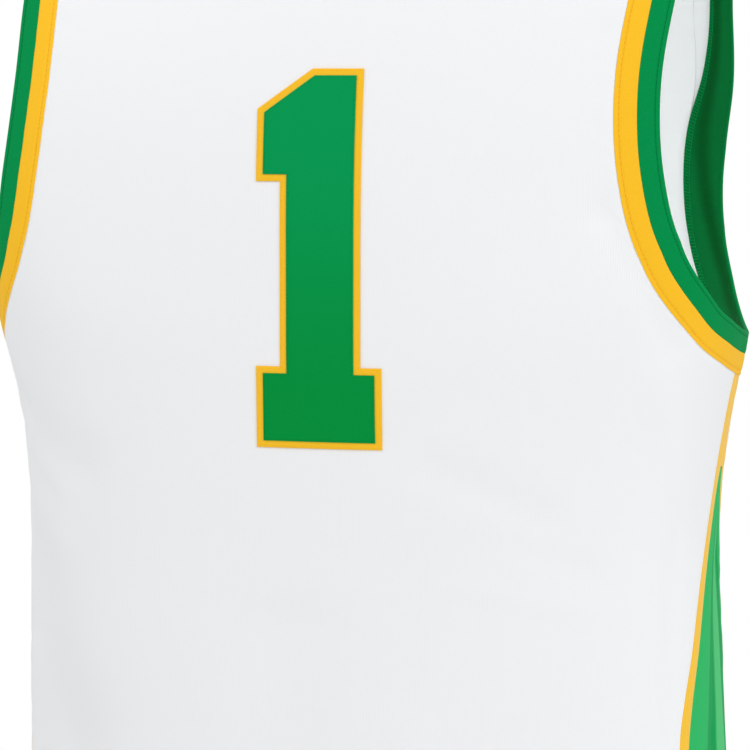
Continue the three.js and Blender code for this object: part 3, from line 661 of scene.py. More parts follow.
# %% Grids of the panels
def panel_grid(way):
    """Places of the back (way -1) or the front (way 1): rows from the hem to the shoulders, columns
    from the lower to the higher angle. The first guess sets each column at its share of the way to
    the rim and bends the upper rows towards the neck, and then the cells are evened out."""
    centre = 0.0 if way < 0 else 180.0
    side = side_edge(way, panel_side)
    corner_row, corner_rise = len(side) - 1, side[-1, 1]
    rim = side_rim(way, side)
    rim[:, 0] = np.abs(rim[:, 0] - centre)
    full = rim[-1, 0]
    top = top_rim(way, centre, full)
    columns = NECK_COLUMNS[way]
    coarse_top = top[::PANEL_FINE]
    step = np.arange(len(coarse_top))
    share = np.where(step <= columns, coarse_top[columns, 0] / full * np.sin(step / columns * np.pi / 2),
                     coarse_top[:, 0] / full)
    rows = np.concatenate([rim[:corner_row], rim[corner_row::PANEL_FINE]])
    climb = np.clip((np.arange(len(rows)) - corner_row) / ARM_ROWS, 0, 1)[:, None]
    inner = (1 - share**2) ** 2
    level = corner_rise + (SEAM_TOP - corner_rise) * climb
    straight = np.where(climb > 0, rows[:, 1:] * (1 - inner) + level * inner, rows[:, 1:])
    blend = climb**TOP_BLEND
    half = np.stack([share * rows[:, :1] + blend * (coarse_top[:, 0] - share * full),
                     straight + blend * (coarse_top[:, 1] - SEAM_TOP)], -1)
    whole = np.concatenate([mirrored(half[:, 1:])[:, ::-1], half], 1)
    grid = relax(whole, corner_row + 1 - RELAXED_ROWS_BELOW)
    fine_low = finer(grid, PANEL_FINE)[:corner_row * PANEL_FINE:PANEL_FINE]
    grid = np.concatenate([fine_low, finer(grid[corner_row:], PANEL_FINE)])
    grid[:, -1], grid[:, 0] = rim, mirrored(rim)
    grid[-1] = np.concatenate([mirrored(top[1:])[::-1], top])
    return add_edge_lines(grid + (centre, 0))


back_grid, front_grid = panel_grid(-1), panel_grid(1)
print("back grid", back_grid.shape[:2], "front grid", front_grid.shape[:2])

# %% [markdown]
# A panel's face sits where its solid's face does, and its inner face is 0.9 mm behind, about a real
# double knit. At the hem the cloth is turned up inside, so the inner face steps in there, and the
# two rows of stitching that hold the hem press a fine groove into the outside.

# %% Seams and hem
KNIT = 0.9
HEM_FOLD, HEM_DEPTH, HEM_STEP = 0.8, 20.0, 1.2
HEM_ROUND, HEM_TUCK, HEM_ROUND_WIDTH = 0.35, 0.5, 1.1
HEM_STITCHES = np.array([15.0, 18.0])
GROOVE, GROOVE_WIDTH = 0.22, 0.7
ROLL, ROLL_WIDTH = 0.4, 2.2
PUCKER, PUCKER_REACH, PUCKER_FROM, PUCKER_OVER = 0.3, 13.0, 0.5, 5.0
OTHER_SEAM = 57.0
NO_SEAM = 1e3
PUCKER_WAVES = np.array([(31.0, 1.3, 1.0), (19.0, 0.4, 0.8), (13.7, 2.2, 0.55)])   # length, shift, part


def pucker(far):
    """Uneven ripple along a seam: three cosines whose lengths have no common measure."""
    length, shift, part = PUCKER_WAVES.T
    waves = part * np.cos(2 * np.pi * far[..., None] / length + shift)
    return waves.sum(-1) / part.sum()


def bell(distance, width):
    """1 at a distance of nought, falling off as e to the minus distance over width squared."""
    return np.exp(-(distance / width) ** 2)


def groove(distance, width=GROOVE_WIDTH):
    return -GROOVE * bell(distance, width)


def near_edge(points, axis):
    """Distance from each point to the start and to the end of its row (axis 1) or column (0)."""
    steps = np.linalg.norm(np.diff(points, axis=axis), axis=-1)
    far = np.cumsum(steps, axis)
    zero = np.zeros_like(np.take(far, [0], axis))
    far = np.concatenate([zero, far], axis)
    return far, np.take(far, [-1], axis) - far


print("ripple along a seam, every 10 mm:", np.round(PUCKER * pucker(np.arange(0, 60, 10.0)), 2))

# %% Faces of a panel
def flat_cloth(places, has_top_seam=True):
    """Outer and inner face of a panel: rolled down at its seams, puckered along them, and turned up
    at the hem. Each roll and ripple fades as a bell of the distance to the nearest seam."""
    base = cloth(places[..., 0], places[..., 1])
    left, right = near_edge(base, 1)
    top = near_edge(base, 0)[1] if has_top_seam else np.full_like(left, NO_SEAM)
    side = np.minimum(left, right)
    nearest = np.minimum(side, top)
    above_hem = height_of(places[..., 1]) - HEM_Z
    up_row = lengths_along(base[:, -1])[:, None]
    along_top = lengths_along(base[-1])[None, :]
    ripple = bell(side, PUCKER_REACH) * pucker(up_row + (left < right) * OTHER_SEAM)
    ripple = ripple + bell(top, PUCKER_REACH) * pucker(along_top)
    ripple = ripple * ease((nearest - PUCKER_FROM) / PUCKER_OVER)
    depth = PUCKER * ripple - ROLL * bell(nearest, ROLL_WIDTH)
    depth = depth + groove(above_hem[..., None] - HEM_STITCHES).sum(-1)
    depth = depth - HEM_ROUND * bell(above_hem, HEM_ROUND_WIDTH)
    turned = HEM_FOLD * ease((HEM_DEPTH + HEM_STEP / 2 - above_hem) / HEM_STEP)
    tucked = HEM_TUCK * bell(above_hem, HEM_ROUND_WIDTH)
    return put(places, depth), put(places, depth - KNIT - turned + tucked)

# %% Panels
def ride(piece, slot, *nodes):
    """The piece moves with the jersey's one body, takes a slot's finish and stands for CAD nodes."""
    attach(piece, "root")
    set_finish(piece, slot)
    if nodes:
        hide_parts(*nodes)
    return piece


pieces = {}
for name, grid in (("back_panel", back_grid), ("front_panel", front_grid)):
    outer, inner = flat_cloth(grid)
    piece = cloth_piece(f"{name}_cloth", outer, inner, cut_uv(grid))
    pieces[name] = ride(piece, "white_knit", name)
    print(name, len(piece.data.polygons), "quads")

# %% [markdown]
# ## Side panels and strips
#
# The green wedge starts as a point below the arm and opens towards the hem. A narrow yellow strip
# runs along each of its sides and closes above the point. They are cut from the same tube between
# two side lines, so they need only a few columns, filled in straight between the edges.

# %% Side pieces
STRIP_SHARES = np.array([0, 0.04, 0.12, 0.25, 0.4, 0.6, 0.75, 0.88, 0.96, 1])
WEDGE_COLUMNS = 44


def between(left, right, shares):
    """Grid between two side lines, by shares of the way across."""
    return left[:, None] * (1 - shares[None, :, None]) + right[:, None] * shares[None, :, None]


def strip_grid(way):
    outer, inner = side_edge(way, strip_edge), side_edge(way, strip_inner)
    return between(outer, inner, STRIP_SHARES) if way < 0 else between(inner, outer, STRIP_SHARES)


def wedge_grid():
    rows = rows_to_tip()
    sides = [beside_seam(rise_at(rows), way * (strip_inner(rows) - GAP)) for way in (-1, 1)]
    return add_edge_lines(between(*sides, np.linspace(0, 1, WEDGE_COLUMNS + 1)), top=False)


def mirrored_grid(grid):
    return mirrored(grid)[:, ::-1]


side_grids = {"strip_back": strip_grid(-1), "strip_front": strip_grid(1), "side_panel": wedge_grid()}
for name, grid in side_grids.items():
    slot = "green_side_knit" if name == "side_panel" else "yellow_strip"
    for side, places in (("right", grid), ("left", mirrored_grid(grid))):
        outer, inner = flat_cloth(places, has_top_seam=name != "side_panel")
        node = f"{name}_{side}"
        pieces[node] = ride(cloth_piece(f"{node}_cloth", outer, inner, cut_uv(places)), slot, node)
print("side pieces:", ", ".join(n for n in pieces if "strip" in n or "side" in n))

# %% [markdown]
# ## The folded trims
#
# A trim is two strips of rib knit. The green one is sewn to the yellow one, folded over the hole's
# edge and faces the inside to its full width, where its raw edge is oversewn. Each strip is a
# profile carried round the hole: distance from the edge and depth, going round the section once.
# The strips are a little fuller between their seams, the edge is a round fold, and the topstitching
# sinks in. Towards the shoulder the front's edge rolls over, so its facing shows narrower there.

# %% Sections of the trims
TRIM_FACE, FACING_OUT, FACING_IN, STRIPE_BACK = 0.3, -1.9, -2.9, -0.95
BAND_FULLNESS, STRIPE_FULLNESS = 0.45, 0.35
BAND_STITCH, STRIPE_STITCH, STITCH_WIDTH = 3.0, 22.3, 0.65
FOLD_HALF, FOLD_ROUND, FOLD_TURN, FOLD_POINTS = (TRIM_FACE - FACING_IN) / 2, 1.55, 70, 9
FOLD_START, FACING_BELOW = 0.4, FACING_OUT + 0.4
TRIM_PUCKER, TRIM_PUCKER_REACH = 0.16, 4.0
EDGE_LIFT_AT, EDGE_LIFT = (1.8, 21, 25), (0, 0, 0.35)
REPEATS_PER_MM = 0.8
ROLLED_OVER, ROLL_FROM_Z, ROLL_TO_Z, ROLL_END_Z, ROLL_END_OVER = 0.44, -200.0, -118.0, -45.0, 40.0
FRONT_FROM_THETA = 100


def fullness(share, power=4):
    """1 in the middle of a strip and 0 at both of its edges, with a broad level middle."""
    return 1 - np.abs(2 * share - 1) ** power


def face_depth(d, start, end, rise, stitch):
    """Depth of a strip's outer face at a distance d from the hole's edge."""
    full = rise * fullness((d - start) / (end - start))
    return full + 2 * groove(d - stitch, STITCH_WIDTH)


def band_face(d):
    return face_depth(np.maximum(d, FOLD_START), 0.0, TRIM, BAND_FULLNESS, BAND_STITCH)


def stripe_face(d):
    return face_depth(d, TRIM + GAP, 2 * TRIM, STRIPE_FULLNESS, STRIPE_STITCH)


def band_section():
    """Closed profile of the folded band: the face from the seam to the fold, half a turn round the
    edge, the facing out to its oversewn edge, and back along its other side."""
    face = np.array([12.5, 12.3, 11.9, 11.2, 10, 8.6, 7.2, 6, 5, 4.2, 3.7, 3.3, 3.0, 2.7, 2.3, 1.8])
    turn = np.radians(np.linspace(FOLD_TURN, -FOLD_TURN, FOLD_POINTS))
    fold_middle = TRIM_FACE - FOLD_HALF
    fold = np.stack([FOLD_ROUND * (1 - np.cos(turn)), fold_middle + FOLD_HALF * np.sin(turn)], -1)
    facing = np.array([1.8, 3.5, 6, 9, 12.5, 16, 19, 21.5, 23.2, 24.2, 24.8, 25])
    lift = np.interp(facing, EDGE_LIFT_AT, EDGE_LIFT)
    back = np.array([25, 24.6, 22, 18, 14, 12.8, 12.5])
    back_depth = np.array([-2.25, FACING_OUT, FACING_OUT, FACING_OUT, FACING_OUT, FACING_OUT, -1.1])
    return np.concatenate([
        np.stack([face, band_face(face)], -1), fold,
        np.stack([facing, FACING_IN + lift], -1), np.stack([back, back_depth], -1),
    ])


def stripe_section():
    """Closed profile of the yellow strip: its face from the outer edge in, and its back."""
    face = np.array([25, 24.8, 24.4, 23.7, 23.1, 22.7, 22.3, 21.9, 21.4, 20.4, 19, 17.2, 15.4, 14.1,
                     13.3, 12.8, TRIM + GAP])
    back = np.array([TRIM + GAP, 14, 18, 22, 25])
    return np.concatenate([np.stack([face, stripe_face(face)], -1),
                           np.stack([back, np.full_like(back, STRIPE_BACK)], -1)])


print("points of the sections:", len(band_section()), "and", len(stripe_section()))

# %% A section carried round a hole
def facing_share(loop):
    """How much of the facing's width shows at each station: all of it, but less at the top of an
    armhole's front, between two heights that it eases in and out at."""
    theta, z = loop[:, 0], cloth(loop[:, 0], loop[:, 1])[:, 2]
    rolled = ease((z - ROLL_FROM_Z) / (ROLL_TO_Z - ROLL_FROM_Z)) * ease((ROLL_END_Z - z) / ROLL_END_OVER)
    return 1 - ROLLED_OVER * rolled * ((theta > FRONT_FROM_THETA) & (loop is not neck))


def closed_line(line):
    return np.concatenate([line, line[:1]])


def trim_piece(name, loop, section, left):
    """A section carried round a loop. Its UV runs along the loop and round the section, metres. The
    ripple fades as a bell of the distance to the two seams."""
    distance, depth = section.T
    is_facing = depth < FACING_BELOW
    kinds, where = np.unique(np.stack([distance, is_facing]), axis=1, return_inverse=True)
    share = facing_share(loop)
    lines = [moved(loop, d * (share if facing else 1)) if d > 0 else loop for d, facing in kinds.T]
    places = np.stack(lines, 1)[:, where.ravel()]
    places = mirrored(places) if left else places
    around = closed_line(loop)
    along = lengths_along(cloth(around[:, 0], around[:, 1]))
    along *= round(along[-1] * REPEATS_PER_MM) / REPEATS_PER_MM / along[-1]
    to_seam = np.minimum(np.abs(distance - TRIM), np.abs(distance - 2 * TRIM))
    shared = bell(to_seam, TRIM_PUCKER_REACH) * ~is_facing
    ripple = TRIM_PUCKER * pucker(along[:-1, None]) * shared[None, :]
    points = put(places, depth[None, :] + ripple)
    round_section = lengths_along(closed_line(section))
    uv = np.stack(np.broadcast_arrays(along[:, None], round_section[None, :]), -1) * MILLIMETRE
    return ring_piece(name, points, uv, flip=not left)


# %% Trims
trims = {"armhole_{}_right": (armhole, False), "armhole_{}_left": (armhole, True),
         "neck_{}": (neck, False)}
for title, (loop, left) in trims.items():
    for part, section, slot in (("band", band_section(), "green_trim"),
                                ("stripe", stripe_section(), "yellow_trim")):
        node = title.format(part)
        pieces[node] = ride(trim_piece(f"{node}_cloth", loop, section, left), slot, node)
        print(node, len(pieces[node].data.polygons), "quads")

# %% [markdown]
# ## The numeral
#
# The numeral is two layers of twill: a yellow one that shows as a border and a smaller green one on
# top. Each lies on the back and follows its folds. Its outline is given as seen, in widths and
# heights, so every point is looked up on the cloth by correcting a guess a few times. The block
# shape is a lattice of lines with the cells outside it left out. In the slanted part the lines lean
# in, so that the slope's edge is a line too.

# %% Numeral sizes
NUMERAL = dict(base_left=-34.3, base_right=37.3, stem_left=-20.3, stem_right=25.5, bottom=-364.6,
               base_top=-319.6, flag_bottom=-218.0, flag_top=-178.5, top=-156.5, peak=-3.2)
BORDER = 3.8
LATTICE = 2.2
BEVEL, BEVEL_DROP = 0.35, 0.2
LOOK_UPS = 12
LAYERS = {
    # inset, depth below, depth above, slot
    "number_outline": (0.0, 0.15, 0.9, "yellow_twill"),
    "number_face": (BORDER, 0.95, 1.6, "green_twill"),
}


def place_of(x, z):
    """The place on the back whose point has this x and z: the error is divided by how fast x grows
    with theta and z with rise, and taken off, a few times over."""
    theta, rise = theta_at(np.abs(x)) * np.sign(x), rise_at(z, 0.0)
    for _ in range(LOOK_UPS):
        places = np.stack([theta, rise], -1)
        miss = np.stack([x, z], -1) - put(places)[..., ::2]
        around, up, _ = frame_at(theta, rise)
        theta, rise = theta + miss[..., 0] / around[..., 0], rise + miss[..., 1] / up[..., 2]
    return np.stack([theta, rise], -1)


def inset_numeral(border):
    """The numeral's sizes, drawn in by a border on every edge. On the slope the border is square to
    the slope, so its two ends slide along the left edge and the top."""
    n = NUMERAL
    climb, run = n["top"] - n["flag_top"], n["peak"] - n["base_left"]
    slant = math.hypot(climb, run)
    return dict(
        base_left=n["base_left"] + border, base_right=n["base_right"] - border,
        stem_left=n["stem_left"] + border, stem_right=n["stem_right"] - border,
        bottom=n["bottom"] + border, base_top=n["base_top"] - border,
        flag_bottom=n["flag_bottom"] + border, top=n["top"] - border,
        flag_top=n["flag_top"] - border * (slant - climb) / run,
        peak=n["peak"] + border * (slant - run) / climb,
    )


top_place = np.round(place_of(0.0, NUMERAL["top"]), 3)
print(f"the numeral's top edge is at {top_place[0]} degrees, rise {top_place[1]}")

# %% Numeral lattice
def lattice_lines(stops):
    """Lines through all the stops, evenly filled, with one more line a bevel inside each stop."""
    lines = [np.linspace(a, b, int(np.ceil((b - a) / LATTICE)) + 1) for a, b in zip(stops, stops[1:])]
    inner = np.concatenate([np.array([s - BEVEL, s + BEVEL]) for s in stops])
    lines = np.unique(np.round(np.concatenate([*lines, inner]), 4))
    return lines[(lines >= stops[0]) & (lines <= stops[-1])]


def numeral_grid(n):
    """Places of the lattice, and the mask of its cells that lie inside the numeral."""
    xs = lattice_lines([n["base_left"], n["stem_left"], n["stem_right"], n["base_right"]])
    zs = lattice_lines([n["bottom"], n["base_top"], n["flag_bottom"], n["flag_top"], n["top"]])
    x, z = np.meshgrid(xs, zs)
    lean = np.clip((z - n["flag_top"]) / (n["top"] - n["flag_top"]), 0, 1)
    left = n["base_left"] + (n["peak"] - n["base_left"]) * lean
    share = (x - n["base_left"]) / (n["stem_right"] - n["base_left"])
    x = np.where(x < n["stem_right"], left + share * (n["stem_right"] - left), x)
    middle_x, middle_z = np.meshgrid((xs[1:] + xs[:-1]) / 2, (zs[1:] + zs[:-1]) / 2)
    base = middle_z < n["base_top"]
    flag = middle_z > n["flag_bottom"]
    keep = (base | (middle_x < n["stem_right"])) & (base | flag | (middle_x > n["stem_left"]))
    return x, z, keep


def numeral_piece(name, inset, low, high):
    x, z, keep = numeral_grid(inset_numeral(inset))
    places = place_of(x, z)
    cells = np.pad(keep.astype(int), 1)
    touching = cells[:-1, :-1] + cells[1:, :-1] + cells[:-1, 1:] + cells[1:, 1:]
    outer = put(places, high - BEVEL_DROP * (touching < 4))
    return cloth_piece(name, outer, put(places, low), np.stack([x, z], -1) * MILLIMETRE, keep)


for name, (inset, low, high, slot) in LAYERS.items():
    pieces[name] = ride(numeral_piece(f"{name}_cloth", inset, low, high), slot, name)
    print(name, len(pieces[name].data.polygons), "quads")

# %% [markdown]
# ## Sewing thread
#
# Up close a seam is told by its stitches, so each stitch is a real bead of thread, thinner at its two
# ends, where it dips into the cloth. There are thousands, so a bead has only four rings of six points
# and all beads of a line are worked out at once. The alternative, a dotted line in the material,
# looks printed on.
#
# A line of stitches is a line of points with normals. It is cut into even lengths, each stitch a
# little shorter than its step, and every stitch is moved aside by a hair's breadth at random, from a
# fixed seed, so that the row isn't perfect.

# %% One bead of thread
THREAD_SIDES = 6
RING_SHARES = np.array([0, 0.14, 0.86, 1])
RING_SIZES = np.array([0.5, 1, 1, 0.5])
RING_DIPS = np.array([-1.4, 0, 0, -1.4])
STITCH_JITTER = 0.05
BEADS_APART, FIRST_STITCH = 7.3, 0.25
chance = np.random.default_rng(7)


def bead_faces():
    """Quads of one bead as (ring, column) pairs: the sides, then two quads for each flat end."""
    ring, column = np.meshgrid(np.arange(3), np.arange(THREAD_SIDES), indexing="ij")
    sides = np.stack([np.stack([ring, column], -1), np.stack([ring + 1, column], -1),
                      np.stack([ring + 1, column + 1], -1), np.stack([ring, column + 1], -1)], 2)
    start = [[(0, k) for k in (0, 1, 2, 3)], [(0, k) for k in (0, 3, 4, 5)]]
    end = [[(3, k) for k in (3, 2, 1, 0)], [(3, k) for k in (5, 4, 3, 0)]]
    return np.concatenate([sides.reshape(-1, 4, 2), np.array(start + end)])


print("a bead of thread:", len(bead_faces()), "quads")

# %% Threads
def threads(name, stitches, radius):
    """Beads of thread. A ring's centre is start + share of the way + dip along the normal, and its
    points are the centre + size times (cosine of the turn across, sine of the turn outwards)."""
    starts, ends, normals = (np.concatenate(part) for part in zip(*stitches))
    starts = starts + chance.normal(0, STITCH_JITTER, starts.shape)
    ends = ends + chance.normal(0, STITCH_JITTER, ends.shape)
    way = ends - starts
    across = unit(np.cross(way, normals))
    outwards = np.cross(across, unit(way))
    turn = 2 * np.pi * np.arange(THREAD_SIDES) / THREAD_SIDES
    centres = starts[:, None] + way[:, None] * RING_SHARES[None, :, None]
    centres = centres + outwards[:, None] * (radius * RING_DIPS)[None, :, None]
    circle = (across[:, None] * np.cos(turn)[None, :, None]
              + outwards[:, None] * np.sin(turn)[None, :, None])
    points = centres[:, :, None] + circle[:, None] * (radius * RING_SIZES)[None, :, None, None]
    ring, column = np.moveaxis(bead_faces(), -1, 0)
    corner = ring * THREAD_SIDES + column % THREAD_SIDES
    count = len(starts)
    faces = corner[None] + (np.arange(count) * 4 * THREAD_SIDES)[:, None, None]
    long = np.linalg.norm(way, axis=-1)[:, None, None]
    uv = np.stack([long * RING_SHARES[ring][None] + np.arange(count)[:, None, None] * BEADS_APART,
                   np.broadcast_to(column * radius, (count, *column.shape))], -1) * MILLIMETRE
    return make_mesh(name, points.reshape(-1, 3), faces.reshape(-1, 4), uv.reshape(-1, 4, 2))

# %% Stitches along a line
def read_line(far, want, table):
    """Rows of a table that runs with the length far, at the lengths want."""
    return np.stack([np.interp(want, far, table[:, k]) for k in range(table.shape[1])], -1)


def stitches_along(points, normals, length, gap):
    """Starts, ends and normals of even stitches along a line of points."""
    far = lengths_along(points)
    count = max(int(round(far[-1] / (length + gap))), 1)
    step = far[-1] / count
    start = (np.arange(count) + gap / (length + gap) / 2) * step
    end = start + step * length / (length + gap)
    middle = unit(read_line(far, (start + end) / 2, normals))
    return read_line(far, start, points), read_line(far, end, points), middle


def line_round(loop, distance, depth, left):
    """Closed line of points round a hole, at a distance from its edge, with the cloth's normals. On
    the left it is mirrored and turned round, so that it runs the same way seen from outside."""
    places = moved(loop, distance)
    places = mirrored(places) if left else places
    places = closed_line(places)
    points, normals = put(places, depth), frame_at(places[:, 0], places[:, 1])[2]
    return (points[::-1], normals[::-1]) if left else (points, normals)


def stitches_between(line, other, spacing, slant):
    """Slanted stitches from one closed line to another beside it, as on an oversewn edge."""
    (a, normals), (b, _) = line, other
    far = lengths_along(a)
    count = int(round(far[-1] / spacing))
    start = (np.arange(count) + FIRST_STITCH) * far[-1] / count
    end = (start + slant) % far[-1]
    return read_line(far, start, a), read_line(far, end, b), -unit(read_line(far, start, normals))


straight = np.array([(0.0, 0, 0), (12, 0, 0)])
print("stitches in 12 mm:", len(stitches_along(straight, straight + (0, 0, 1), 2.5, 0.5)[0]))

# %% [markdown]
# ### Where the rows of stitches run
#
# The green strip is topstitched 3 mm from the hole's edge, through to its facing, and the facing's
# free edge is oversewn: slanted loops over the raw edge and a chain beside it. The yellow strip has a
# row of its own near its outer edge. Two rows hold the hem. The numeral's layers are sewn down just
# inside their edges. Thread takes the finish of the cloth that it matches.

# %% Rows on the trims
THREAD = {"topstitch": 0.2, "oversewn": 0.22, "hem": 0.16, "numeral": 0.15}    # radius
THREAD_UP = 0.3
PLAIN_STITCH, CHAIN_STITCH, NUMERAL_STITCH = (2.5, 0.5), (2.2, 0.2), (2.2, 0.4)    # length, gap
OVERSEWN_FROM, OVERSEWN_TO, OVERSEWN_STEP, OVERSEWN_SLANT = 20.9, 25.15, 1.9, 1.1
CHAIN_DEPTH, OVERSEWN_DEPTH = FACING_IN - 0.1, FACING_OUT - 0.62
NUMERAL_SEAM = 1.0


def sew(name, stitches, kind, slot):
    pieces[name] = ride(threads(name, stitches, THREAD[kind]), slot)


def topstitch(name, slot, loop, left, distance, face):
    """A row of plain stitches on a trim's face, lying three tenths of a thread above its groove."""
    depth = float(face(np.array(distance))) + THREAD["topstitch"] * THREAD_UP
    row = stitches_along(*line_round(loop, distance, depth, left), *PLAIN_STITCH)
    sew(f"{name}_topstitch", [row], "topstitch", slot)


for title, (loop, left) in trims.items():
    band, stripe = title.format("band"), title.format("stripe")
    topstitch(band, "green_trim", loop, left, BAND_STITCH, band_face)
    topstitch(stripe, "yellow_trim", loop, left, STRIPE_STITCH, stripe_face)
    share = facing_share(loop)
    chain_points, chain_normals = line_round(loop, OVERSEWN_FROM * share, CHAIN_DEPTH, left)
    edge = line_round(loop, OVERSEWN_TO * share, OVERSEWN_DEPTH, left)
    loops = stitches_between((chain_points, chain_normals), edge, OVERSEWN_STEP, OVERSEWN_SLANT)
    chain = stitches_along(chain_points, -chain_normals, *CHAIN_STITCH)
    sew(f"{band}_oversewn", [loops, chain], "oversewn", "green_trim")
    print(f"{band}: {len(loops[0])} loops over its raw edge")

# %% Rows on the hem and the numeral
hem_theta = np.linspace(-180, 180, 1081)
hem_rows = []
for height in HEM_STITCHES:
    places = np.stack([hem_theta, np.full_like(hem_theta, rise_at(HEM_Z + height))], -1)
    points = put(places, -GROOVE + THREAD["hem"] * THREAD_UP)
    hem_rows.append(stitches_along(points, frame_at(*places.T)[2], *PLAIN_STITCH))
sew("hem_stitches", hem_rows, "hem", "white_knit")


def numeral_rim(border, step=2.0):
    """Closed line of x and z just inside a layer's edge, anticlockwise from the lower left."""
    n = inset_numeral(border)
    corners = np.array([
        (n["base_left"], n["bottom"]), (n["base_right"], n["bottom"]), (n["base_right"], n["base_top"]),
        (n["stem_right"], n["base_top"]), (n["stem_right"], n["top"]), (n["peak"], n["top"]),
        (n["base_left"], n["flag_top"]), (n["base_left"], n["flag_bottom"]),
        (n["stem_left"], n["flag_bottom"]), (n["stem_left"], n["base_top"]),
        (n["base_left"], n["base_top"]), (n["base_left"], n["bottom"]),
    ])
    far = lengths_along(corners)
    return read_line(far, np.unique(np.concatenate([far, np.arange(0, far[-1], step)])), corners)


for name, (inset, low, high, slot) in LAYERS.items():
    places = place_of(*numeral_rim(inset + NUMERAL_SEAM).T)
    row = stitches_along(put(places, high), frame_at(*places.T)[2], *NUMERAL_STITCH)
    sew(f"{name}_stitches", [row], "numeral", slot)

sewn = [name for name in pieces if "stitch" in name or "oversewn" in name]
print(len(sewn), "rows of thread,", sum(len(pieces[name].data.polygons) for name in sewn), "quads")

# %% [markdown]
# ## Writing shaders
#
# Two helpers keep the shaders readable: one adds a node and feeds its sockets, the other does a sum.
# A pattern that several cloths share is a node group with named sockets, built once, and each
# material gives it its own sizes. Patterns read the UV map "cut", which is in metres on the flat
# cloth, so a loop of knit keeps its size and follows the seams. Slow changes of tone read Object
# coordinates, so that they run on from one piece to the next.

# %% Shader helpers
def add(tree, kind, feeds=None, **settings):
    """A new node with its properties set. A socket in feeds is linked, and a number is set."""
    made = tree.nodes.new(kind)
    for key, value in settings.items():
        setattr(made, key, value)
    for socket, value in (feeds or {}).items():
        if isinstance(value, bpy.types.NodeSocket):
            tree.links.new(value, made.inputs[socket])
        else:
            made.inputs[socket].default_value = value
    return made


def maths(tree, operation, a, b=0.0, c=0.0):
    return add(tree, "ShaderNodeMath", {0: a, 1: b, 2: c}, operation=operation).outputs[0]


def split(tree, vector):
    return add(tree, "ShaderNodeSeparateXYZ", {0: vector}).outputs


def noise(tree, vector, scale, detail):
    feeds = {"Vector": vector, "Scale": scale, "Detail": detail}
    return add(tree, "ShaderNodeTexNoise", feeds).outputs["Fac"]


def object_place(tree):
    return add(tree, "ShaderNodeTexCoord").outputs["Object"]


def wave(tree, turns):
    """0.5 + 0.5 times the cosine of a number of turns: 1 at whole turns and 0 halfway between."""
    swing = maths(tree, "COSINE", maths(tree, "MULTIPLY", turns, 2 * math.pi))
    return maths(tree, "MULTIPLY_ADD", swing, 0.5, 0.5)

# %% Mixing, groups and colours
def between_values(tree, value, low, high, to_low, to_high):
    feeds = {"Value": value, "From Min": low, "From Max": high, "To Min": to_low, "To Max": to_high}
    return add(tree, "ShaderNodeMapRange", feeds, interpolation_type="SMOOTHSTEP").outputs["Result"]


def mix_colours(tree, share, first, second):
    """The first colour where share is 0 and the second where it is 1. A Mix node has its colour
    sockets after those for numbers and vectors."""
    return add(tree, "ShaderNodeMix", {0: share, 6: first, 7: second}, data_type="RGBA").outputs[2]


def new_group(name, inputs, outputs):
    """An empty group with named inputs, given as name: (kind, value), and outputs as name: kind."""
    tree = bpy.data.node_groups.new(name, "ShaderNodeTree")
    for title, (kind, value) in inputs.items():
        socket = tree.interface.new_socket(title, in_out="INPUT", socket_type=f"NodeSocket{kind}")
        if value is not None:
            socket.default_value = value
    for title, kind in outputs.items():
        tree.interface.new_socket(title, in_out="OUTPUT", socket_type=f"NodeSocket{kind}")
    return tree, tree.nodes.new("NodeGroupInput").outputs, tree.nodes.new("NodeGroupOutput")


def finish_weave(tree, ends, height, relief, light_from):
    """Feeds a weave group's outputs. Shade is 1 in the gaps of the relief, 0 from light_from up."""
    tree.links.new(height, ends.inputs["Height"])
    tree.links.new(between_values(tree, relief, 0.0, light_from, 1.0, 0.0), ends.inputs["Shade"])
    print(f"{tree.name}: {len(tree.nodes)} nodes")


def linear(red, green, blue):
    """A colour read off a screen, 0 to 255, as the amounts of light that shaders work with."""
    part = np.array([red, green, blue]) / 255
    return (*np.where(part <= 0.04045, part / 12.92, ((part + 0.055) / 1.055) ** 2.4), 1.0)


# %% [markdown]
# ### Knit
#
# A knit is columns of V-shaped loops. A column is a rounded ridge, so its height is a sine across.
# Within it the strands repeat along the column and lean up to both sides, which makes the V: the
# running length is shifted by the distance from the column's middle. Yarn is never quite even, so a
# little noise bends the grid and varies the height. At the size of the picture the loops are about
# one pixel wide, so they stay shallow and only give the surface its tooth.

# %% Knit group
KNIT_INPUTS = {"Cut": ("Vector", None), "Column": ("Float", 0.0009), "Loop": ("Float", 0.0007),
               "Unevenness": ("Float", 0.3)}
WEAVE_OUTPUTS = {"Height": "Float", "Shade": "Float"}
knit, knit_in, knit_out = new_group("knit_loops", KNIT_INPUTS, WEAVE_OUTPUTS)
wander = noise(knit, knit_in["Cut"], 160.0, 2.0)
bend = maths(knit, "MULTIPLY", maths(knit, "SUBTRACT", wander, 0.5), knit_in["Unevenness"])
cut_axes = split(knit, knit_in["Cut"])
column = maths(knit, "ADD", maths(knit, "DIVIDE", cut_axes["X"], knit_in["Column"]), bend)
course = maths(knit, "DIVIDE", cut_axes["Y"], knit_in["Loop"])
ridge = maths(knit, "SUBTRACT", 1.0, wave(knit, column))
lean = maths(knit, "PINGPONG", column, 0.5)
strand = wave(knit, maths(knit, "SUBTRACT", course, lean))
loops = maths(knit, "MULTIPLY", ridge, maths(knit, "MULTIPLY_ADD", strand, 0.45, 0.55))
yarn = maths(knit, "MULTIPLY_ADD", wander, 0.3, 0.85)
finish_weave(knit, knit_out, maths(knit, "MULTIPLY", loops, yarn), loops, 0.6)

# %% [markdown]
# ### Rib
#
# The trims are a firmer rib: rounded ribs run across the strip, from the hole outwards, each one made
# of small loops. The UV map of a trim runs along the hole first, so ribs are waves of that
# coordinate.

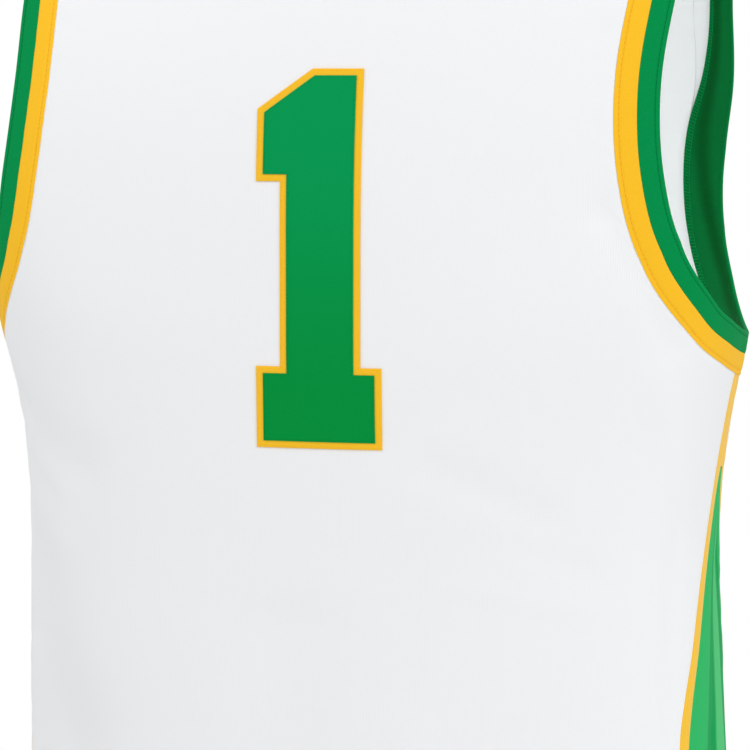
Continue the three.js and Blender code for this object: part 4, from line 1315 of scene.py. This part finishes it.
# %% Rib group
RIB_INPUTS = {"Cut": ("Vector", None), "Rib": ("Float", 0.0013), "Loop": ("Float", 0.0007)}
rib, rib_in, rib_out = new_group("rib_knit", RIB_INPUTS, WEAVE_OUTPUTS)
bend = maths(rib, "MULTIPLY", noise(rib, rib_in["Cut"], 120.0, 3.0), 0.7)
cut_axes = split(rib, rib_in["Cut"])
ribs = wave(rib, maths(rib, "ADD", maths(rib, "DIVIDE", cut_axes["X"], rib_in["Rib"]), bend))
bumps = wave(rib, maths(rib, "DIVIDE", cut_axes["Y"], rib_in["Loop"]))
grain = maths(rib, "MULTIPLY_ADD", bumps, 0.2, 0.8)
height = maths(rib, "MULTIPLY", maths(rib, "POWER", ribs, 0.7), grain)
finish_weave(rib, rib_out, height, height, 0.7)

# %% [markdown]
# ### Twill
#
# The numeral is cut from tackle twill: tight diagonal ridges half a millimetre apart, each cut into
# short floats by the threads that cross it. A diagonal is the sum of the two coordinates.

# %% Twill group
TWILL_INPUTS = {"Cut": ("Vector", None), "Pitch": ("Float", 0.0006)}
twill, twill_in, twill_out = new_group("tight_twill", TWILL_INPUTS, WEAVE_OUTPUTS)
cut_axes = split(twill, twill_in["Cut"])
across = maths(twill, "DIVIDE", cut_axes["X"], twill_in["Pitch"])
upward = maths(twill, "DIVIDE", cut_axes["Y"], twill_in["Pitch"])
ridges = wave(twill, maths(twill, "ADD", across, upward))
floats = wave(twill, maths(twill, "MULTIPLY", maths(twill, "SUBTRACT", upward, across), 0.5))
height = maths(twill, "MULTIPLY", ridges, maths(twill, "MULTIPLY_ADD", floats, 0.3, 0.7))
finish_weave(twill, twill_out, height, height, 0.7)

# %% [markdown]
# ### Tone
#
# No dyed cloth is one flat colour. Tone shifts the colour slowly over hand-wide areas and adds a fine
# melange of fibres. It also darkens the gaps of the weave with painted shade, for the shade between
# the loops, and lets folds that rub go a little smoother. The same group serves every cloth with its
# own amounts.

# %% Tone group
TONE_INPUTS = {
    "Color": ("Color", (1, 1, 1, 1)), "Shade": ("Float", 0.0), "Shade Amount": ("Float", 0.1),
    "Slow Amount": ("Float", 0.03), "Fibre Amount": ("Float", 0.02), "Roughness": ("Float", 0.85),
}
tone, tone_in, tone_out = new_group("cloth_tone", TONE_INPUTS, {"Color": "Color", "Roughness": "Float"})
place = object_place(tone)
slow, fibre = noise(tone, place, 7.0, 2.0), noise(tone, place, 900.0, 3.0)
slow_off = maths(tone, "MULTIPLY", maths(tone, "SUBTRACT", slow, 0.5), tone_in["Slow Amount"])
fibre_off = maths(tone, "MULTIPLY", maths(tone, "SUBTRACT", fibre, 0.5), tone_in["Fibre Amount"])
# painted shade: the weave's gaps are darkened by the shade input times its amount
painted_gap_shade = maths(tone, "MULTIPLY", tone_in["Shade"], tone_in["Shade Amount"])
lighter = maths(tone, "ADD", slow_off, fibre_off)
value = maths(tone, "ADD", lighter, maths(tone, "SUBTRACT", 1.0, painted_gap_shade))
shifted = add(tone, "ShaderNodeHueSaturation", {"Value": value, "Color": tone_in["Color"]})
tone.links.new(shifted.outputs["Color"], tone_out.inputs["Color"])
rough = maths(tone, "ADD", tone_in["Roughness"], maths(tone, "MULTIPLY", slow_off, 2.0))
tone.links.new(rough, tone_out.inputs["Roughness"])
print("tone group:", len(tone.nodes), "nodes")

# %% [markdown]
# ## The finishes
#
# A cloth material is a weave group that gives height and shade, the tone group that gives colour and
# roughness, a Bump node, and one Principled BSDF. Polyester knit is matt with a soft pale edge where
# it is seen nearly from the side, which is what Sheen is for. Sheen and the low specular level are
# the same all over, so they are set on the shader itself.

# %% Cloth material
BUMP_STRENGTH, SHEEN_ROUGHNESS = 0.6, 0.45


def group_node(tree, group, feeds):
    return add(tree, "ShaderNodeGroup", feeds, node_tree=group).outputs


def cloth_material(name, color, weave, sizes, bump, shade, sheen, roughness=0.86, slow=0.03, fibre=0.04,
                   specular=0.2):
    """color is a colour, or a function that draws it in the material's tree. bump is the weave's
    height in metres, and shade how much darker its gaps are."""
    material = bpy.data.materials.new(name)
    material.use_nodes = True
    tree = material.node_tree
    shader = tree.nodes["Principled BSDF"]
    cut = add(tree, "ShaderNodeUVMap", uv_map="cut").outputs["UV"]
    woven = group_node(tree, weave, {"Cut": cut, **sizes})
    drawn = color(tree, cut) if callable(color) else color
    look = group_node(tree, tone, {"Color": drawn, "Shade": woven["Shade"], "Shade Amount": shade,
                                   "Slow Amount": slow, "Fibre Amount": fibre, "Roughness": roughness})
    feeds = {"Strength": BUMP_STRENGTH, "Distance": bump, "Height": woven["Height"]}
    lift = add(tree, "ShaderNodeBump", feeds)
    tree.links.new(look["Color"], shader.inputs["Base Color"])
    tree.links.new(look["Roughness"], shader.inputs["Roughness"])
    tree.links.new(lift.outputs["Normal"], shader.inputs["Normal"])
    shader.inputs["Specular IOR Level"].default_value = specular
    shader.inputs["Sheen Weight"].default_value = sheen
    shader.inputs["Sheen Roughness"].default_value = SHEEN_ROUGHNESS
    return material


# %% [markdown]
# ### The side panels' painted fold shade and highlight
#
# The green side knit is lighter than the trims and has two darker stripes of painted shade in it, for
# the shade in the troughs of a fold, which the cloth's shape also has. They start at the wedge's point
# and run down on either side of its middle, a little wider as they go. In the cut's own coordinates
# that is a straight line: the distance from the middle of the side, less a share of the way down from
# the point, is nought on the stripe. Between the stripes the knit is painted lightest, a painted
# highlight for the pale grazing light on the bulge beside the trough.

# %% Side knit colour
# The first green is the knit's own colour; the other two are painted light: a painted highlight between
# the stripes and painted shade in them.
SIDE_LIGHT, SIDE_PAINTED_HIGHLIGHT, SIDE_PAINTED_SHADE = linear(47, 189, 104), linear(80, 202, 122), linear(8, 162, 84)
SHADE_STRIPE_SLOPE, SHADE_STRIPE_HALF, SHADE_STRIPE_SOFT, SHADE_STRIPE_GROWTH = 0.143, 0.0095, 0.0018, 0.062
SHADE_STRIPES_START_Z = -400.0
side_middle, shade_stripes_start = cut_uv(np.array([SIDE_THETA, float(rise_at(SHADE_STRIPES_START_Z))]))


def side_colour(tree, cut):
    axes = split(tree, cut)
    from_middle = maths(tree, "SUBTRACT", maths(tree, "ABSOLUTE", axes["X"]), float(side_middle))
    down = maths(tree, "MAXIMUM", maths(tree, "SUBTRACT", float(shade_stripes_start), axes["Y"]), 0.0)
    outside = maths(tree, "SUBTRACT", maths(tree, "ABSOLUTE", from_middle),
                    maths(tree, "MULTIPLY", down, SHADE_STRIPE_SLOPE))
    off = maths(tree, "ABSOLUTE", outside)
    half = maths(tree, "MINIMUM", maths(tree, "MULTIPLY", down, SHADE_STRIPE_GROWTH), SHADE_STRIPE_HALF)
    # mask is 1 on the stripes of painted shade
    mask = between_values(tree, maths(tree, "SUBTRACT", off, half), -SHADE_STRIPE_SOFT, SHADE_STRIPE_SOFT, 1.0, 0.0)
    # the knit's own green, painted lighter between the stripes as a painted highlight
    ground = mix_colours(tree, between_values(tree, outside, 0.0, SHADE_STRIPE_SOFT, 0.0, 1.0),
                         SIDE_PAINTED_HIGHLIGHT, SIDE_LIGHT)
    return mix_colours(tree, mask, ground, SIDE_PAINTED_SHADE)


# %% [markdown]
# ### The trims' reverse side, with painted shade and painted light
#
# The folded facing shows the green rib's reverse inside the armhole, and its colour is painted darker
# than the face, as painted shade for the hollow that little light reaches. The trim's UV map runs round
# its section, so the facing is simply the part beyond the fold. The painted shade is darkest in a band
# beside its oversewn edge, and that band moves towards the fold lower down. The yellow strip is sewn
# on over the white body, which is what shows behind it on the inside. A line of painted shade lies
# where the rows of stitches sink in, over their needle holes, and the numeral's green is painted a
# little lighter towards its top, as painted light from above.

# %% Trim colour
# The rib's own green comes first; the facing's two darker greens are painted shade for the hollow of the
# armhole.
TRIM_LIGHT, TRIM_FACING_PAINTED_SHADE, TRIM_FACING_PAINTED_DEEP_SHADE = linear(1, 145, 75), linear(2, 110, 50), linear(0, 84, 32)
# The two sewn-row colours are painted shade where the stitching sinks in, over its needle holes.
TRIM_SEWN_ROW_SHADE, TRIM_YELLOW, YELLOW_SEWN_ROW_SHADE = linear(3, 104, 54), linear(254, 195, 36), linear(232, 160, 22)
BODY_WHITE = linear(244, 245, 247)
# places round a trim's section, in metres from the first point of its profile
FACE_END, REVERSE_START = 0.0128, 0.0158
STRIPE_END, STRIPE_BACK_START = 0.0130, 0.0138
SHADE_BAND_LOW, SHADE_BAND_HIGH, SHADE_BAND_HALF = 0.019, 0.031, 0.0080
BAND_ROW, STRIPE_ROW, ROW_HALF = 0.0098, 0.0028, 0.0004
# heights between which the painted shade band moves and the numeral's painted light grows, in metres
SHADE_BAND_LOW_Z, SHADE_BAND_HIGH_Z, FOOT_Z, HEAD_Z = -0.29, -0.17, -0.34, -0.2
# The numeral's upper green is painted light: the green is painted lighter upwards, as light falls from
# above.
NUMERAL_PAINTED_LIT_TOP, NUMERAL_FOOT = linear(2, 154, 82), linear(1, 146, 62)


def height_between(tree, low_z, high_z, low, high):
    """A value that goes from low to high between two heights of the piece."""
    return between_values(tree, split(tree, object_place(tree))["Z"], low_z, high_z, low, high)


def beside(tree, value, middle, half):
    """1 where the value is the middle one, easing to 0 at half away from it."""
    off = maths(tree, "ABSOLUTE", maths(tree, "SUBTRACT", value, middle))
    return between_values(tree, off, 0.0, half, 1.0, 0.0)


def trim_colour(tree, cut):
    round_section = split(tree, cut)["Y"]
    inside = between_values(tree, round_section, FACE_END, REVERSE_START, 0.0, 1.0)
    # painted shade on the facing, darkest in a band that moves with height
    shade_band_at = height_between(tree, SHADE_BAND_LOW_Z, SHADE_BAND_HIGH_Z, SHADE_BAND_LOW, SHADE_BAND_HIGH)
    shade_band = beside(tree, round_section, shade_band_at, SHADE_BAND_HALF)
    # painted shade along the green band's sunk row of stitches
    face = mix_colours(tree, beside(tree, round_section, BAND_ROW, ROW_HALF), TRIM_LIGHT, TRIM_SEWN_ROW_SHADE)
    return mix_colours(tree, inside, face, mix_colours(tree, shade_band, TRIM_FACING_PAINTED_SHADE, TRIM_FACING_PAINTED_DEEP_SHADE))


def stripe_colour(tree, cut):
    round_section = split(tree, cut)["Y"]
    inside = between_values(tree, round_section, STRIPE_END, STRIPE_BACK_START, 0.0, 1.0)
    # painted shade along the yellow strip's sunk row of stitches
    sewn_row_shade = beside(tree, round_section, STRIPE_ROW, ROW_HALF)
    face = mix_colours(tree, sewn_row_shade, TRIM_YELLOW, YELLOW_SEWN_ROW_SHADE)
    return mix_colours(tree, inside, face, BODY_WHITE)


def numeral_colour(tree, cut):
    # painted light: the numeral's green lightens towards its top
    upward = height_between(tree, FOOT_Z, HEAD_Z, 0.0, 1.0)
    return mix_colours(tree, upward, NUMERAL_FOOT, NUMERAL_PAINTED_LIT_TOP)


# %% Materials by slot
PLAIN_KNIT = {"Column": 0.0009, "Loop": 0.0007}
FINE_RIB = {"Rib": 0.0009, "Loop": 0.0007}
TWILL_SIZE = {"Pitch": 0.0006}
STRIP_YELLOW, TWILL_YELLOW = linear(253, 199, 50), linear(254, 196, 38)
LOOKS = {
    # colour, weave and its sizes, bump, shade, sheen, and what else differs
    "white_knit": (BODY_WHITE, knit, PLAIN_KNIT, 0.00007, 0.02, 0.06, dict(slow=0.012, fibre=0.015)),
    "yellow_strip": (STRIP_YELLOW, knit, PLAIN_KNIT, 0.00008, 0.05, 0.35, {}),
    "green_side_knit": (side_colour, knit, PLAIN_KNIT, 0.00008, 0.06, 0.06, dict(specular=0.08)),
    "green_trim": (trim_colour, rib, FINE_RIB, 0.00008, 0.1, 0.02,
                   dict(slow=0.06, fibre=0.16, specular=0.06)),
    "yellow_trim": (stripe_colour, rib, FINE_RIB, 0.00008, 0.03, 0.05, dict(fibre=0.05)),
    "yellow_twill": (TWILL_YELLOW, twill, TWILL_SIZE, 0.00005, 0.04, 0.05, dict(roughness=0.7)),
    "green_twill": (numeral_colour, twill, TWILL_SIZE, 0.00005, 0.05, 0.0,
                    dict(roughness=0.7, specular=0.05)),
}
finishes = {slot: cloth_material(slot, *look, **more) for slot, (*look, more) in LOOKS.items()}
for piece in pieces.values():
    piece.data.materials.append(finishes[piece["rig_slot"]])
print("finishes:", ", ".join(finishes))

# %% [markdown]
# ## Each cloth as it was cut
#
# Every sheet states the flat size it was cut to and how it is held: the panels hang, the trims are
# folded over their holes and the numeral is laid on the back. A trim is a tube with no end, so its
# length is all the way round its hole.

# %% Sheets
TRIM_WIDTH, FOLDED_WIDTH = 0.0125, 0.039
ARM_ROUND, ARM_SEAM_ROUND, NECK_ROUND, NECK_SEAM_ROUND = 0.728, 0.80, 0.739, 0.82
STRIPS = ["strip_back_right", "strip_back_left", "strip_front_right", "strip_front_left"]
BOTH_BANDS = ["armhole_band_right", "armhole_band_left"]
BOTH_STRIPES = ["armhole_stripe_right", "armhole_stripe_left"]
FACE_ROW, BOTH_ROWS = ["_topstitch"], ["_topstitch", "_oversewn"]
CUTS = [
    # nodes, (width, length), flat area, how held, rests on, endings of its threads
    (["back_panel"], (0.533, 0.826), 0.298, "hung", [], ["hem_stitches"]),
    (["front_panel"], (0.537, 0.826), 0.283, "hung", [], []),
    (STRIPS, (0.010, 0.445), None, "hung", [], []),
    (["side_panel_right", "side_panel_left"], (0.160, 0.380), 0.0375, "hung", [], []),
    (BOTH_BANDS, (FOLDED_WIDTH, ARM_ROUND), 0.0276, "folded", [], BOTH_ROWS),
    (BOTH_STRIPES, (TRIM_WIDTH, ARM_SEAM_ROUND), None, "stretched", [], FACE_ROW),
    (["neck_band"], (FOLDED_WIDTH, NECK_ROUND), None, "folded", [], BOTH_ROWS),
    (["neck_stripe"], (TRIM_WIDTH, NECK_SEAM_ROUND), None, "stretched", [], FACE_ROW),
    (["number_outline"], (0.0716, 0.208), 0.0110, "laid", ["back_panel"], ["_stitches"]),
    (["number_face"], (0.0637, 0.2005), 0.0089, "laid", ["number_outline"], ["_stitches"]),
]
for nodes, flat, area, held, under, endings in CUTS:
    for node in nodes:
        print(f"{node}: {flat[0]} by {flat[1]} m, {held}")

# %% [markdown]
# ## Floor, light and background
#
# The picture is a plain studio shot on white. What the camera sees behind the jersey is pure white,
# but cloth lit evenly from all sides shows no folds, so the light that falls on it comes from a
# dimmer dome that is brighter above than below. A big soft lamp from the right draws the folds, a
# weaker one lifts the upper left, one lights the unseen front, and a small one inside the hollow
# body keeps the inside from going grey.

# %% Floor
FLOOR_Z, FLOOR_RADIUS, FLOOR_SIDES = -0.80, 1.25, 96
FLOOR_COLOUR, FLOOR_ROUGHNESS, FLOOR_GRAIN, FLOOR_DULLEST = linear(246, 246, 246), 0.9, 30.0, 0.985

turn = np.linspace(0, 2 * np.pi, FLOOR_SIDES + 1)[:-1]
rim = np.stack([FLOOR_RADIUS * np.cos(turn), FLOOR_RADIUS * np.sin(turn),
                np.full_like(turn, FLOOR_Z)], -1)
floor_mesh = bpy.data.meshes.new("floor")
floor_mesh.from_pydata(rim.tolist(), [], [list(range(FLOOR_SIDES))])
floor = bpy.data.objects.new("floor", floor_mesh)
bpy.context.scene.collection.objects.link(floor)
floor_material = bpy.data.materials.new("pale_floor")
floor_material.use_nodes = True
floor_tree = floor_material.node_tree
floor_shader = floor_tree.nodes["Principled BSDF"]
grain = noise(floor_tree, object_place(floor_tree), FLOOR_GRAIN, 3.0)
dullness = between_values(floor_tree, grain, 0.0, 1.0, FLOOR_DULLEST, 1.0)
pale = add(floor_tree, "ShaderNodeHueSaturation", {"Color": FLOOR_COLOUR, "Value": dullness})
floor_tree.links.new(pale.outputs["Color"], floor_shader.inputs["Base Color"])
floor_shader.inputs["Roughness"].default_value = FLOOR_ROUGHNESS
floor.data.materials.append(floor_material)

# %% Background
DOME_TOP, DOME_BOTTOM = 0.82, 0.50
world = bpy.data.worlds.new("studio")
bpy.context.scene.world = world
world.use_nodes = True
dome = world.node_tree
sky = dome.nodes["Background"]
up = split(dome, add(dome, "ShaderNodeTexCoord").outputs["Generated"])["Z"]
brightness = between_values(dome, up, -1.0, 1.0, DOME_BOTTOM, DOME_TOP)
seen = add(dome, "ShaderNodeLightPath").outputs["Is Camera Ray"]
dome.links.new(maths(dome, "MAXIMUM", brightness, seen), sky.inputs["Strength"])
sky.inputs["Color"].default_value = (1, 1, 1, 1)
bpy.context.scene.view_settings.view_transform = "Standard"
print(f"dome: {DOME_BOTTOM} below to {DOME_TOP} above")

# %% Lamps
BODY_MIDDLE = (0, 0, -0.35)
LAMPS = {
    # place, aim, size, watts, spread
    "key": ((1.6, -1.3, 0.7), BODY_MIDDLE, 1.3, 12.8, 180),
    "upper_left": ((-0.85, -0.7, 0.45), (-0.2, 0, 0), 0.6, 0.6, 75),
    "front": ((-0.3, 1.8, 0.7), BODY_MIDDLE, 0.5, 7, 180),
}
INSIDE_PLACE, INSIDE_WATTS, INSIDE_SIZE = (0, 0, -0.32), 0.45, 0.07


def lamp(name, kind, place, watts):
    made = bpy.data.objects.new(name, bpy.data.lights.new(name, kind))
    bpy.context.scene.collection.objects.link(made)
    made.location = place
    made.data.energy = watts
    return made


for name, (place, aim, size, watts, beam) in LAMPS.items():
    made = lamp(name, "AREA", place, watts)
    made.data.shape = "DISK"
    made.data.size, made.data.spread = size, math.radians(beam)
    made.rotation_euler = (Vector(aim) - made.location).to_track_quat("-Z", "Y").to_euler()
lamp("inside", "POINT", INSIDE_PLACE, INSIDE_WATTS).data.shadow_soft_size = INSIDE_SIZE
